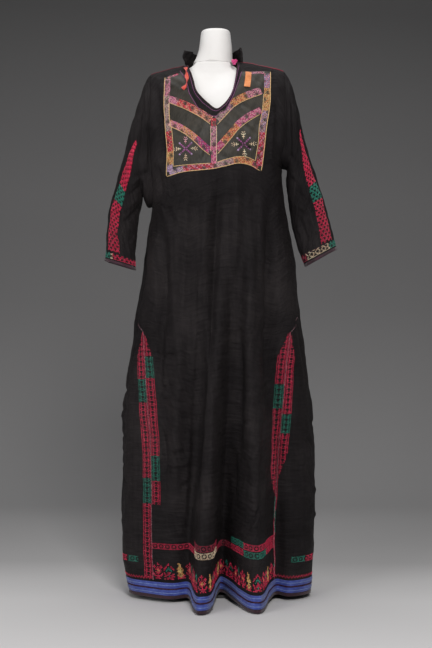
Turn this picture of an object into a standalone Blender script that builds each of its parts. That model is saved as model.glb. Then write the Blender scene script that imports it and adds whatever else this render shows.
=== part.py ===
"""A floor-length embroidered dress (thobe) worn by a limbless dress form.

The cloth is a thin wall.  Its front, back and two side gores share one surface: a ring at each
height, worked out from the BODY table, with the largest folds of FOLDS pushed out of it, and
closed over the shoulders as a dome.  Each cut piece takes its own part of that surface and stops
short of its seam.  Sleeves are lofted from the armhole to the cuff.  Metres, +Z up, front at -Y.
"""
import math

import bpy
import bmesh
import numpy as np

# ---------------------------------------------------------------- driving sizes
CLOTH = 0.0016            # wall of the black cotton, with its folded seam allowances
APPLIED = 0.0012          # wall of what is sewn on top
SEAM = 0.0003             # gap between two pieces
ARMHOLE_SEAM = 0.0009     # the same where a sleeve's wall turns against the body's
HEM = 0.0120              # lowest edge of the four skirt pieces
TAPE_TOP = 0.0460         # upper edge of the blue hem tape
EDGING_DROP = 0.0090      # how far the bound edge hangs under the skirt pieces
HEM_RISE = 0.0090         # how much higher the hem hangs between the crests of the folds
HEM_RISE_REACH = 0.35     # height at which that difference has faded out
BUST = 1.2000             # height above which the body narrows to the shoulders
SHOULDER_TOP = 1.4300     # highest point of the shoulder line
SHOULDER_MIDDLE = 0.020   # its place across the body
SHOULDER_FALL = 0.95      # how fast it falls to both sides, per metre
FRONT_ROUND = 1.7         # roundness from the bust over the shoulder, in front
BACK_ROUND = 2.8          # and behind
SECTION_ROUND = 2.4       # squareness of a body ring; 2 is an ellipse
ARMHOLE_LEFT = -0.174     # where the body ends and the sleeve begins
ARMHOLE_RIGHT = 0.182
ARMPIT_LEFT = 1.0400
ARMPIT_RIGHT = 1.1450
GORE_TOP = 0.7600         # point where each side gore begins
GORE_TIP = 0.7550         # blunt end of its cloth, just under that point
PANEL_BOTTOM = 1.1180     # chest panel
PANEL_BOTTOM_TILT = 0.10
PANEL_TOP = 1.3800
CENTRE_SHIFT = (-0.0138, 0.0055, 0.0)   # puts the middle of the whole object over the origin


def columns(names, rows):
    """Turn a table of rows into one array for each named column."""
    return {name: np.array(values, dtype=float) for name, values in zip(names, zip(*rows))}


# A ring of the body at each height: where its left and right sides stand, and how far the
# front and the back lie from the middle.
BODY = columns(("height", "left", "right", "front", "back"), [
    (0.000, -0.229, 0.252, 0.100, 0.170),
    (0.060, -0.243, 0.257, 0.101, 0.168),
    (0.110, -0.250, 0.262, 0.102, 0.166),
    (0.240, -0.247, 0.259, 0.105, 0.160),
    (0.400, -0.245, 0.256, 0.109, 0.151),
    (0.520, -0.244, 0.251, 0.113, 0.143),
    (0.600, -0.237, 0.243, 0.116, 0.136),
    (0.680, -0.219, 0.232, 0.119, 0.129),
    (0.760, -0.211, 0.219, 0.122, 0.122),
    (0.870, -0.190, 0.210, 0.125, 0.112),
    (0.960, -0.184, 0.198, 0.127, 0.108),
    (1.040, -0.170, 0.184, 0.128, 0.107),
    (1.100, -0.180, 0.178, 0.129, 0.109),
    (1.145, -0.192, 0.178, 0.129, 0.111),
    (1.200, -0.200, 0.208, 0.128, 0.112),
])

# The largest folds.  Each starts at a height and deepens to the hem; its line runs from one
# place across the body to another.  Its skew is the width of its right half as a share of the
# left one, and its edge says how square its crest is.
FOLDS = columns(("side", "start", "across_top", "across_hem", "depth", "half_top", "half_hem",
                 "skew", "edge", "growth"), [
    (-1, 0.98, 0.006, -0.0325, 0.140, 0.036, 0.0300, 1.00, 4.6, 1.35),
    (-1, 1.00, 0.104, 0.1060, 0.128, 0.044, 0.0500, 0.58, 2.3, 1.25),
    (-1, 1.05, -0.020, -0.080, -0.012, 0.020, 0.020, 1.00, 2.0, 0.80),
    (-1, 0.95, 0.046, 0.012, -0.062, 0.024, 0.028, 1.00, 2.0, 1.30),
    (-1, 0.92, 0.152, 0.158, -0.030, 0.018, 0.022, 1.00, 2.0, 0.90),
    (-1, 0.90, -0.112, -0.120, 0.010, 0.040, 0.045, 1.00, 2.0, 0.70),
    (1, 1.05, -0.085, -0.110, 0.058, 0.040, 0.040, 0.80, 2.6, 1.20),
    (1, 1.10, -0.005, -0.012, 0.040, 0.030, 0.034, 1.20, 2.4, 1.20),
    (1, 1.05, 0.080, 0.095, 0.064, 0.040, 0.042, 0.85, 2.6, 1.20),
    (1, 1.05, 0.040, 0.042, -0.020, 0.022, 0.024, 1.00, 2.0, 1.00),
    (1, 1.00, -0.045, -0.058, -0.018, 0.022, 0.024, 1.00, 2.0, 1.00),
])

DEEP_FOLD = 0.100         # a crest this far out brings the hem right down

# Seam of each gore, given by its distance from the middle of the dress.
GORE_SEAM = columns(("height", "left", "right"), [
    (0.000, 0.163, 0.152),
    (0.150, 0.168, 0.152),
    (0.250, 0.168, 0.155),
    (0.400, 0.170, 0.164),
    (0.520, 0.180, 0.175),
    (0.620, 0.186, 0.183),
    (0.700, 0.192, 0.194),
])

# The edge of the neck opening, and the outer line of the binding sewn round it.
NECK_EDGE = columns(("across", "height"), [
    (-0.078, 1.425), (-0.073, 1.416), (-0.060, 1.386), (-0.0545, 1.347), (-0.029, 1.302),
    (-0.0157, 1.2865), (0.000, 1.2825), (0.018, 1.2955), (0.034, 1.331), (0.046, 1.377),
    (0.054, 1.406), (0.058, 1.425),
])
BINDING_EDGE = columns(("across", "height"), [
    (-0.096, 1.400), (-0.078, 1.370), (-0.070, 1.330), (-0.045, 1.285), (-0.0157, 1.266),
    (0.000, 1.264), (0.024, 1.278), (0.046, 1.325), (0.058, 1.362), (0.068, 1.395),
])
NECK_BACK = columns(("across", "height"), [
    (-0.078, 1.425), (-0.066, 1.404), (-0.040, 1.396), (0.020, 1.396), (0.048, 1.404),
    (0.058, 1.425),
])

# Lines that the front piece's columns follow above the waist: their place at the bottom and at
# the top of the chest panel, and how many steps lead to the next line.
FRONT_LINES = columns(("low", "high", "steps"), [
    (ARMHOLE_LEFT, ARMHOLE_LEFT, 3),
    (-0.130, -0.135, 3),
    (-0.096, -0.096, 2),
    (-0.078, -0.078, 1),
    (-0.060, -0.060, 1),
    (-0.0545, -0.0545, 2),
    (-0.029, -0.029, 1),
    (-0.0157, -0.0157, 1),
    (0.000, 0.000, 1),
    (0.018, 0.018, 1),
    (0.034, 0.034, 1),
    (0.046, 0.046, 1),
    (0.058, 0.058, 1),
    (0.068, 0.068, 4),
    (0.117, 0.143, 3),
    (ARMHOLE_RIGHT, ARMHOLE_RIGHT, 0),
])
PANEL_LEFT_LINE, BINDING_LEFT_LINE, BINDING_RIGHT_LINE, PANEL_RIGHT_LINE = 1, 2, 13, 14
BACK_LINES = columns(("low", "high", "steps"), [
    (ARMHOLE_LEFT, ARMHOLE_LEFT, 5),
    (-0.078, -0.078, 2),
    (-0.050, -0.050, 4),
    (0.035, 0.035, 2),
    (0.058, 0.058, 6),
    (ARMHOLE_RIGHT, ARMHOLE_RIGHT, 0),
])

LOWER_ROWS = (HEM, TAPE_TOP, 0.11, 0.19, 0.28, 0.37, 0.46, 0.55, 0.64, 0.71, GORE_TIP, 0.84,
              0.92, 0.99, ARMPIT_LEFT, 1.08, PANEL_BOTTOM, ARMPIT_RIGHT, 1.168, BUST)
PANEL_ROWS = 5            # rows from the bust to the top of the chest panel
YOKE_ROWS = 3             # rows from there to the shoulder seam
GORE_STEPS = 6
ACROSS_WEIGHT = 3.0       # steps along a ring count more where it runs across the body

# A sleeve's rings from the shoulder to the cuff: its outer and inner edge seen from the front,
# half its depth, and how far its middle stands forward.
SLEEVE_NAMES = ("outer_x", "outer_z", "inner_x", "inner_z", "half_depth", "forward")
SLEEVE_LEFT = columns(SLEEVE_NAMES, [
    (-0.190, 1.365, -0.181, 1.054, 0.086, 0.000),
    (-0.202, 1.330, -0.190, 1.068, 0.084, 0.001),
    (-0.219, 1.277, -0.196, 1.074, 0.078, 0.003),
    (-0.237, 1.212, -0.199, 1.058, 0.071, 0.006),
    (-0.255, 1.145, -0.203, 1.030, 0.065, 0.010),
    (-0.272, 1.080, -0.207, 1.002, 0.060, 0.014),
    (-0.286, 1.020, -0.211, 0.970, 0.056, 0.018),
    (-0.292, 0.955, -0.2135, 0.925, 0.053, 0.022),
    (-0.294, 0.9025, -0.2145, 0.8785, 0.052, 0.026),
])
SLEEVE_RIGHT = columns(SLEEVE_NAMES, [
    (0.200, 1.372, 0.187, 1.151, 0.082, 0.000),
    (0.211, 1.335, 0.189, 1.143, 0.078, 0.001),
    (0.222, 1.292, 0.189, 1.124, 0.072, 0.003),
    (0.233, 1.235, 0.189, 1.102, 0.066, 0.006),
    (0.250, 1.172, 0.191, 1.076, 0.060, 0.010),
    (0.271, 1.110, 0.195, 1.044, 0.056, 0.014),
    (0.290, 1.050, 0.203, 1.000, 0.053, 0.018),
    (0.306, 0.988, 0.211, 0.950, 0.052, 0.022),
    (0.3200, 0.934, 0.2345, 0.887, 0.052, 0.026),
])
SLEEVE_EASE = (0.42, 0.75, 0.95)   # how far the first rings have left the armhole's shape
CUFF_DROP = 0.0075                # height of the bound edge of the cuff
SLEEVE_ROUND = 2.3

# The standing collar, from its left end behind the neck to its right end: its foot, its height
# and how far its top edge leans from its foot.
COLLAR = columns(("foot_x", "foot_y", "foot_z", "height", "lean_x", "lean_y"), [
    (-0.0800, -0.034, 1.4235, 0.020, -0.012, -0.014),
    (-0.0835, -0.012, 1.4265, 0.029, -0.008, -0.008),
    (-0.0820, 0.014, 1.4265, 0.036, 0.010, 0.000),
    (-0.0650, 0.052, 1.4230, 0.038, 0.008, -0.008),
    (-0.0050, 0.086, 1.4090, 0.046, 0.000, -0.012),
    (0.0520, 0.052, 1.4230, 0.042, -0.006, -0.008),
    (0.0680, 0.014, 1.4290, 0.041, -0.006, 0.000),
    (0.0700, -0.010, 1.4300, 0.039, -0.008, -0.004),
    (0.0640, -0.030, 1.4270, 0.028, -0.004, -0.008),
])

# The dress form, from the hips to the neck block: half its width, and its depth both ways.
FORM = columns(("height", "half", "front", "back", "middle"), [
    (0.800, 0.146, 0.088, 0.092, 0.000),
    (0.870, 0.148, 0.092, 0.094, 0.000),
    (0.960, 0.132, 0.088, 0.084, 0.000),
    (1.040, 0.120, 0.088, 0.076, 0.000),
    (1.110, 0.127, 0.101, 0.082, 0.000),
    (1.180, 0.142, 0.114, 0.092, 0.000),
    (1.250, 0.152, 0.108, 0.096, 0.000),
    (1.300, 0.159, 0.093, 0.094, 0.000),
    (1.340, 0.161, 0.077, 0.087, -0.001),
    (1.366, 0.157, 0.061, 0.078, -0.002),
    (1.380, 0.143, 0.051, 0.070, -0.003),
    (1.390, 0.116, 0.044, 0.062, -0.005),
    (1.397, 0.090, 0.041, 0.058, -0.007),
    (1.405, 0.071, 0.040, 0.056, -0.008),
    (1.4256, 0.0540, 0.0400, 0.052, -0.008),
])
FORM_ROUND = 2.25
NECK = columns(("height", "half", "front", "back", "middle"), [
    (1.4259, 0.0539, 0.0400, 0.0519, -0.008),
    (1.440, 0.0490, 0.0400, 0.0510, -0.005),
    (1.460, 0.0455, 0.0400, 0.0500, -0.001),
    (1.490, 0.0418, 0.0395, 0.0480, -0.001),
    (1.508, 0.0400, 0.0385, 0.0460, -0.001),
    (1.514, 0.0370, 0.0355, 0.0420, -0.001),
    (1.517, 0.0260, 0.0250, 0.0290, -0.001),
])
FORM_SIDES = 28
PLATE_RADIUS = 0.105
PLATE_HEIGHT = 0.008
PLATE_MIDDLE = (0.004, 0.066)
POLE_RADIUS = 0.014

MATERIALS = {
    "black cotton": ((0.012, 0.011, 0.012), 0.78, 0.0),
    "olive satin": ((0.060, 0.056, 0.046), 0.42, 0.0),
    "blue tape": ((0.045, 0.085, 0.360), 0.55, 0.0),
    "maroon edging": ((0.055, 0.012, 0.028), 0.70, 0.0),
    "orange tape": ((0.600, 0.170, 0.060), 0.60, 0.0),
    "pink tie": ((0.560, 0.050, 0.200), 0.60, 0.0),
    "white form": ((0.780, 0.780, 0.770), 0.60, 0.0),
    "painted steel": ((0.020, 0.020, 0.021), 0.45, 0.0),
}


# ---------------------------------------------------------------- small helpers
def smooth(low, high, value):
    """Rise from 0 to 1 between two values, with no corners."""
    share = np.clip((value - low) / (high - low), 0.0, 1.0)
    return share * share * (3.0 - 2.0 * share)


def curve(places, values, at):
    """Read a table's column between its rows on a smooth curve."""
    slopes = np.gradient(values, places)
    index = np.clip(np.searchsorted(places, at) - 1, 0, len(places) - 2)
    start, end = places[index], places[index + 1]
    span = end - start
    t = np.clip((at - start) / span, 0.0, 1.0)
    rise = values[index + 1] - values[index]
    bend = (slopes[index] * span, slopes[index + 1] * span)
    hermite = t * t * (3 - 2 * t) * rise + t * (1 - t) ** 2 * bend[0] - t * t * (1 - t) * bend[1]
    return values[index] + hermite


def unit(vectors):
    """Scale vectors to a length of one."""
    return vectors / np.linalg.norm(vectors, axis=-1, keepdims=True)


# ---------------------------------------------------------------- the body's surface
def ring(name, height):
    """One column of the BODY table at a height."""
    return float(curve(BODY["height"], BODY[name], min(height, BUST)))


def fold_depth(side, across, height):
    """How far the folds push the cloth out at a place."""
    total = 0.0
    for k in range(len(FOLDS["side"])):
        fold = {name: column[k] for name, column in FOLDS.items()}
        if fold["side"] != side or height >= fold["start"]:
            continue
        grown = (fold["start"] - height) / fold["start"]
        middle = fold["across_top"] + (fold["across_hem"] - fold["across_top"]) * grown
        half = fold["half_top"] + (fold["half_hem"] - fold["half_top"]) * grown
        if across > middle:
            half *= fold["skew"]
        crest = math.exp(-abs((across - middle) / half) ** fold["edge"])
        total += fold["depth"] * grown ** fold["growth"] * crest
    return total


def shoulder(across):
    """Height of the shoulder line."""
    return SHOULDER_TOP - SHOULDER_FALL * (across - SHOULDER_MIDDLE) ** 2


def dome_power(side):
    """Exponent of the curve from the bust over the shoulder."""
    return 2.0 / (FRONT_ROUND if side < 0 else BACK_ROUND)


def dome_share(side, across, height):
    """Share of the way from the bust to the shoulder seam at which a height is reached."""
    rise = (height - BUST) / (shoulder(across) - BUST)
    return math.asin(min(1.0, rise) ** (1.0 / dome_power(side))) * 2.0 / math.pi


def surface(side, turn, level):
    """A point of the dress body.

    side is -1 in front and 1 behind.  turn runs from -1 at the left side to 1 at the right.
    level is the height up to the bust; above it, each metre is one share of the dome.
    """
    if abs(turn) > 1.0:
        side, turn = -side, math.copysign(2.0 - abs(turn), turn)
    share = level - BUST
    if share > 1.0:
        side, share = -side, 2.0 - share
    height = min(level, BUST)
    left, right = ring("left", height), ring("right", height)
    depth = ring("front" if side < 0 else "back", height)
    sine, cosine = math.sin(turn * math.pi / 2), math.cos(turn * math.pi / 2)
    power = 2.0 / SECTION_ROUND
    across = (left + right) / 2 + (right - left) / 2 * math.copysign(abs(sine) ** power, sine)
    out = max(cosine, 0.0) ** power
    away = depth * out + fold_depth(side, across, height) * smooth(0.0, 0.55, out)
    flat = 1.0 - min(max(fold_depth(side, across, height) / DEEP_FOLD, -0.6), 1.0)
    height += HEM_RISE * flat * (1.0 - smooth(0.0, HEM_RISE_REACH, height))
    if share > 0.0:
        angle = share * math.pi / 2
        away *= max(math.cos(angle), 0.0) ** dome_power(side)
        height += (shoulder(across) - BUST) * math.sin(angle) ** dome_power(side)
    return np.array((across, side * away, height))


def outward(side, turn, level):
    """The direction straight out of the cloth at a place."""
    along = surface(side, turn + 0.003, level) - surface(side, turn - 0.003, level)
    up = surface(side, turn, level + 0.002) - surface(side, turn, level - 0.002)
    return -side * unit(np.cross(along, up))


def turn_at(across, height):
    """The turn of a ring at a place across the body."""
    left, right = ring("left", height), ring("right", height)
    share = (across - (left + right) / 2) / ((right - left) / 2)
    sine = min(abs(share), 1.0) ** (SECTION_ROUND / 2)
    return math.copysign(math.asin(sine) * 2 / math.pi, share)


def edge_turn(hand, level):
    """Where the front and back pieces end: at the gore, the side seam or the armhole."""
    armpit = ARMPIT_LEFT if hand < 0 else ARMPIT_RIGHT
    armhole = ARMHOLE_LEFT if hand < 0 else ARMHOLE_RIGHT
    if level >= BUST:
        return turn_at(armhole, BUST)
    if level > armpit:
        rise = (level - armpit) / (BUST - armpit)
        open_cosine = math.cos(turn_at(armhole, BUST) * math.pi / 2)
        cosine = open_cosine * math.sqrt(1.0 - (1.0 - rise) ** 2)
        return math.copysign(math.acos(cosine) * 2 / math.pi, hand)
    if level >= GORE_TOP:
        return float(hand)
    column = "left" if hand < 0 else "right"
    across = hand * float(np.interp(level, GORE_SEAM["height"], GORE_SEAM[column]))
    near_top = float(smooth(0.70, GORE_TOP, level))
    return turn_at(across, level) * (1.0 - near_top) + hand * near_top


def even_turns(side, start, end, level, count):
    """Turns that divide one ring into even steps, closer across a fold's crest than its sides."""
    fine = np.linspace(start, end, 240)
    points = np.array([surface(side, turn, level) for turn in fine]) * (ACROSS_WEIGHT, 1.0, 1.0)
    run = np.concatenate(([0.0], np.cumsum(np.linalg.norm(np.diff(points, axis=0), axis=1))))
    return np.interp(np.linspace(0.0, run[-1], count), run, fine)


def line_places(lines, height):
    """Places across the body of all the columns, from the named lines."""
    rise = min(max((height - PANEL_BOTTOM) / (PANEL_TOP - PANEL_BOTTOM), 0.0), 1.0)
    named = lines["low"] + (lines["high"] - lines["low"]) * rise
    places = [named[0]]
    for start, end, steps in zip(named, named[1:], lines["steps"]):
        places += list(np.linspace(start, end, int(steps) + 1)[1:])
    return np.array(places)


def row_turns(side, lines, level, height):
    """The turns of one row: on the named lines above the waist, evenly spaced below it."""
    places = line_places(lines, height)
    start, end = edge_turn(-1, level), edge_turn(1, level)
    on_lines = np.array([turn_at(place, min(level, BUST)) for place in places])
    on_lines = np.clip(on_lines, start, end)
    on_lines[0], on_lines[-1] = start, end
    if level >= 1.08:
        return on_lines
    even = even_turns(side, start, end, level, len(places))
    share = float(smooth(0.84, 1.08, level))
    return even * (1.0 - share) + on_lines * share


def neck_height(side, across):
    """Height of the neck edge, or of the shoulder beyond it."""
    table = NECK_EDGE if side < 0 else NECK_BACK
    if across <= table["across"][0] + 1e-6 or across >= table["across"][-1] - 1e-6:
        return shoulder(across)
    return min(float(np.interp(across, table["across"], table["height"])), shoulder(across))


def panel_height(across):
    """Height of the line where the chest panel ends under the binding or the shoulder."""
    edge = float(np.interp(across, BINDING_EDGE["across"], BINDING_EDGE["height"]))
    inside = BINDING_EDGE["across"][0] < across < BINDING_EDGE["across"][-1]
    return min(PANEL_TOP, edge) if inside else PANEL_TOP


def body_grid(side, lines):
    """Points and outward directions of the front or back piece, row by row, hem first."""
    places = []
    for level in LOWER_ROWS:
        turns = row_turns(side, lines, level, level)
        row = [(turn, level) for turn in turns]
        if level == PANEL_BOTTOM and side < 0:
            across = line_places(lines, level)
            fade = 1.0 - (np.abs(across) / 0.175) ** 4
            row = [(turn, level + PANEL_BOTTOM_TILT * x * f)
                   for turn, x, f in zip(turns, across, fade)]
        places.append(row)
    for step in range(1, PANEL_ROWS + YOKE_ROWS + 1):
        share = step / (PANEL_ROWS + YOKE_ROWS)
        row = []
        height = BUST + (PANEL_TOP - BUST) * min(step / PANEL_ROWS, 1.0)
        turns = row_turns(side, lines, BUST, height)
        for across, turn in zip(line_places(lines, height), turns):
            top = dome_share(side, across, neck_height(side, across))
            reached = top * share
            if side < 0:
                panel = dome_share(side, across, panel_height(across))
                above = (step - PANEL_ROWS) / YOKE_ROWS
                reached = panel * min(step / PANEL_ROWS, 1.0) + (top - panel) * max(above, 0.0)
            row.append((turn, BUST + reached))
        places.append(row)
    points = np.array([[surface(side, *place) for place in row] for row in places])
    normals = np.array([[outward(side, *place) for place in row] for row in places])
    return (points, normals) if side < 0 else (points[:, ::-1], normals[:, ::-1])


def gore_grid(hand):
    """Points and directions of a side gore, from the hem to its point."""
    rows = [level for level in LOWER_ROWS if level <= GORE_TIP]
    points, normals = [], []
    for level in rows:
        half = even_turns(-1, edge_turn(hand, level), hand, level, GORE_STEPS // 2 + 1)
        front = [(-1, turn) for turn in half]
        other = even_turns(1, hand, edge_turn(hand, level), level, GORE_STEPS // 2 + 1)
        around = (front + [(1, turn) for turn in other[1:]])[::hand]
        points.append([surface(side, turn, level) for side, turn in around])
        normals.append([outward(side, turn, level) for side, turn in around])
    return np.array(points), np.array(normals)


# ---------------------------------------------------------------- cloth walls
def draw_in(points, amount, sides="bottom top left right"):
    """Move the edges of a grid into it, which leaves the gap of a seam."""
    moved = points.copy()
    if "bottom" in sides:
        moved[0] += amount * unit(points[1] - points[0])
    if "top" in sides:
        moved[-1] += amount * unit(points[-2] - points[-1])
    if "left" in sides:
        moved[:, 0] += amount * unit(points[:, 1] - points[:, 0])
    if "right" in sides:
        moved[:, -1] += amount * unit(points[:, -2] - points[:, -1])
    return moved


def cloth_wall(name, outer, inner, material, closed=False):
    """A closed wall between two grids of points; closed says that its rows are rings."""
    rows, count = outer.shape[:2]
    mesh = bpy.data.meshes.new(name)
    build = bmesh.new()
    skins = [[[build.verts.new(point) for point in row] for row in grid]
             for grid in (outer, inner)]
    last = count if closed else count - 1
    for skin in skins:
        for i in range(rows - 1):
            for j in range(last):
                k = (j + 1) % count
                build.faces.new((skin[i][j], skin[i][k], skin[i + 1][k]))
                build.faces.new((skin[i][j], skin[i + 1][k], skin[i + 1][j]))
    rims = [[(skin[i][j]) for j in range(count)] for i in (0, rows - 1) for skin in skins]
    for first, second in ((rims[0], rims[1]), (rims[2], rims[3])):
        for j in range(last):
            k = (j + 1) % count
            build.faces.new((first[j], first[k], second[k]))
            build.faces.new((first[j], second[k], second[j]))
    if not closed:
        for j in (0, count - 1):
            for i in range(rows - 1):
                corners = (skins[0][i][j], skins[0][i + 1][j], skins[1][i + 1][j], skins[1][i][j])
                build.faces.new((corners[0], corners[1], corners[2]))
                build.faces.new((corners[0], corners[2], corners[3]))
    bmesh.ops.recalc_face_normals(build, faces=build.faces)
    build.to_mesh(mesh)
    build.free()
    return add_object(name, mesh, material)


def add_object(name, mesh, material):
    """Put a mesh in the scene with its material, under the stand's empty."""
    mesh.shade_smooth()
    mesh.set_sharp_from_angle(angle=math.radians(50))
    mesh.materials.append(bpy.data.materials[material])
    piece = bpy.data.objects.new(name, mesh)
    bpy.data.collections["thobe_on_dress_form"].objects.link(piece)
    piece.parent = bpy.data.objects["stand"]
    return piece


def laid_on(name, points, normals, rows, cols, material):
    """A piece sewn on top of the cloth, made from its points, moved out."""
    base = draw_in(points[rows, cols], SEAM / 2)
    lift = normals[rows, cols]
    cloth_wall(name, base + lift * (SEAM + APPLIED), base + lift * SEAM, material)


# ---------------------------------------------------------------- the dress
def line_index(lines, number):
    """Column at which a named line runs."""
    return int(lines["steps"][:number].sum())


def make_body():
    """Front, back, gores, chest panel and neck binding."""
    front, front_out = body_grid(-1, FRONT_LINES)
    back, back_out = body_grid(1, BACK_LINES)
    left, left_out = gore_grid(-1)
    right, right_out = gore_grid(1)
    pieces = (("front_panel", front, front_out), ("back_panel", back, back_out),
              ("side_gore_left", left, left_out), ("side_gore_right", right, right_out))
    for name, points, normals in pieces:
        outer = draw_in(points, SEAM / 2, "top left right")
        cloth_wall(name, outer, outer - normals * CLOTH, "black cotton")
    panel_bottom = LOWER_ROWS.index(PANEL_BOTTOM)
    panel_top = len(LOWER_ROWS) - 1 + PANEL_ROWS
    across = slice(line_index(FRONT_LINES, PANEL_LEFT_LINE),
                   line_index(FRONT_LINES, PANEL_RIGHT_LINE) + 1)
    laid_on("chest_panel", front, front_out, slice(panel_bottom, panel_top + 1), across,
            "olive satin")
    across = slice(line_index(FRONT_LINES, BINDING_LEFT_LINE),
                   line_index(FRONT_LINES, BINDING_RIGHT_LINE) + 1)
    laid_on("neck_binding", front, front_out, slice(panel_top, None), across, "black cotton")
    make_hem(*[grids for piece in pieces for grids in piece[1:]])
    return front, front_out, back, back_out


def make_hem(front, front_out, back, back_out, left, left_out, right, right_out):
    """The blue tape on the hem and the bound edge under it, both right round the skirt."""
    def around(front_grid, right_grid, back_grid, left_grid):
        parts = front_grid[:2], right_grid[:2, 1:-1], back_grid[:2], left_grid[:2, 1:-1]
        return np.concatenate(parts, axis=1)
    points = around(front, right, back, left)
    normals = around(front_out, right_out, back_out, left_out)
    cloth_wall("hem_tape", points + normals * (SEAM + APPLIED), points + normals * SEAM,
               "blue tape", closed=True)
    edge, out = points[0], normals[0] * (1.0, 1.0, 0.0)
    drops = np.array((0.0, 0.0, -SEAM)), np.array((0.0, 0.0, -EDGING_DROP))
    outer = np.array([edge + out * 0.0006 + drop for drop in drops])
    inner = np.array([edge - out * (CLOTH + 0.0004) + drop for drop in drops])
    cloth_wall("hem_edging", outer, inner, "maroon edging", closed=True)


def armhole(hand, front, front_out, back, back_out):
    """The ring at the armhole: from the armpit up the front, and down the back."""
    first = LOWER_ROWS.index(ARMPIT_LEFT if hand < 0 else ARMPIT_RIGHT)
    edges = ((0, 1), (-1, -2))
    points, normals = [], []
    for grid, out, rows, edge in (
            (front, front_out, range(first, len(front)), edges[hand > 0]),
            (back, back_out, range(len(back) - 2, first, -1), edges[hand < 0])):
        column, beside = edge
        for i in rows:
            away = unit(grid[i, column] - grid[i, beside])
            if i == first:
                away = np.array((0.0, 0.0, 1.0))
            points.append(grid[i, column] + away * ARMHOLE_SEAM)
            normals.append(out[i, column])
    return np.array(points), unit(np.array(normals))


def sleeve_grid(start, table):
    """Rings of a sleeve from the armhole to the cuff."""
    top = np.argmax(start[:, 2])
    middle = (start[0] + start[top]) / 2
    angle = np.interp(np.arange(len(start) + 1), (0, top, len(start)), (0, math.pi, 2 * math.pi))
    angle = angle[:-1]
    rings = [start]
    power = 2.0 / SLEEVE_ROUND
    for k in range(len(table["outer_x"])):
        row = {name: column[k] for name, column in table.items()}
        outer = np.array((row["outer_x"], -row["forward"], row["outer_z"]))
        inner = np.array((row["inner_x"], -row["forward"], row["inner_z"]))
        reach = np.sign(-np.cos(angle)) * np.abs(np.cos(angle)) ** power
        side = -np.sign(np.sin(angle)) * np.abs(np.sin(angle)) ** power * row["half_depth"]
        ringed = (outer + inner) / 2 + np.outer(reach, (outer - inner) / 2)
        ringed[:, 1] += side
        ease = SLEEVE_EASE[k] if k < len(SLEEVE_EASE) else 1.0
        drift = start + (outer + inner) / 2 - middle
        rings.append(ringed * ease + drift * (1.0 - ease))
    return np.array(rings)


def sleeve_normals(points, first):
    """Outward directions of a sleeve; its first ring shares those of the body."""
    along = np.gradient(points, axis=0)
    around = np.roll(points, -1, axis=1) - np.roll(points, 1, axis=1)
    normals = unit(np.cross(around, along))
    middle = points.mean(axis=1, keepdims=True)
    if (normals[-1] * (points[-1] - middle[-1])).sum() < 0:
        normals = -normals
    normals[0] = first
    return normals


def make_sleeves(body):
    """Both sleeves and the bound edges of their cuffs."""
    for hand, name, table in ((-1, "left", SLEEVE_LEFT), (1, "right", SLEEVE_RIGHT)):
        start, first = armhole(hand, *body)
        points = sleeve_grid(start, table)
        normals = sleeve_normals(points, first)
        cloth_wall("sleeve_" + name, points, points - normals * CLOTH, "black cotton",
                   closed=True)
        down = unit(points[-1] - points[-2])
        mouth, out = points[-1], normals[-1]
        steps = (down * SEAM, down * CUFF_DROP)
        outer = np.array([mouth + out * 0.0006 + step for step in steps])
        inner = np.array([mouth - out * (CLOTH + 0.0004) + step for step in steps])
        cloth_wall("cuff_edging_" + name, outer, inner, "maroon edging", closed=True)


def make_collar():
    """The standing collar, open in front."""
    names = ("foot_x", "foot_y", "foot_z", "height", "lean_x", "lean_y")
    rows = np.arange(len(COLLAR["foot_x"]), dtype=float)
    at = np.linspace(0, rows[-1], 19)
    x, y, z, height, lean_x, lean_y = [curve(rows, COLLAR[name], at) for name in names]
    foot = np.stack((x, y, z), axis=-1)
    reach = np.stack((lean_x, lean_y, height), axis=-1)
    points = np.array([foot + reach * share for share in (0.0, 0.5, 1.0)])
    along = np.gradient(points, axis=1)
    normals = unit(np.cross(along, np.gradient(points, axis=0)))
    middle = np.array((-0.005, 0.01, 1.44))
    if (normals * (points - middle)).sum() < 0:
        normals = -normals
    cloth_wall("collar", points, points - normals * CLOTH, "black cotton")


def front_place(across, height):
    """A point of the front surface and the direction out of it."""
    level = BUST + dome_share(-1, across, height) if height > BUST else height
    turn = turn_at(across, min(height, BUST))
    return surface(-1, turn, level), outward(-1, turn, level)


def make_tie_tabs():
    """Two short ends of tape that hang beside the neck, and the knot on the right."""
    tabs = (("tie_tab_left", -0.0810, 1.3840, -0.0745, 1.3340, 0.0065, 0.0030, "pink tie"),
            ("tie_tab_right", 0.0840, 1.3940, 0.0780, 1.3500, 0.0155, 0.0012, "orange tape"))
    for name, top_x, top_z, low_x, low_z, width, thick, material in tabs:
        points, normals = [], []
        for share in np.linspace(0.0, 1.0, 5):
            middle = low_x + (top_x - low_x) * share
            height = low_z + (top_z - low_z) * share
            row = [front_place(middle + side * width / 2, height) for side in (-1, 1)]
            points.append([place for place, _ in row])
            normals.append([out for _, out in row])
        points, normals = np.array(points), np.array(normals)
        base = points + normals * 0.0032
        cloth_wall(name, base + normals * thick, base, material)
    build = bmesh.new()
    bmesh.ops.create_uvsphere(build, u_segments=14, v_segments=9, radius=1.0)
    bmesh.ops.scale(build, vec=(0.0090, 0.0070, 0.0080), verts=build.verts)
    mesh = bpy.data.meshes.new("tie_knot")
    build.to_mesh(mesh)
    build.free()
    add_object("tie_knot", mesh, "pink tie").location = (0.0485, -0.0500, 1.4215)


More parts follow.
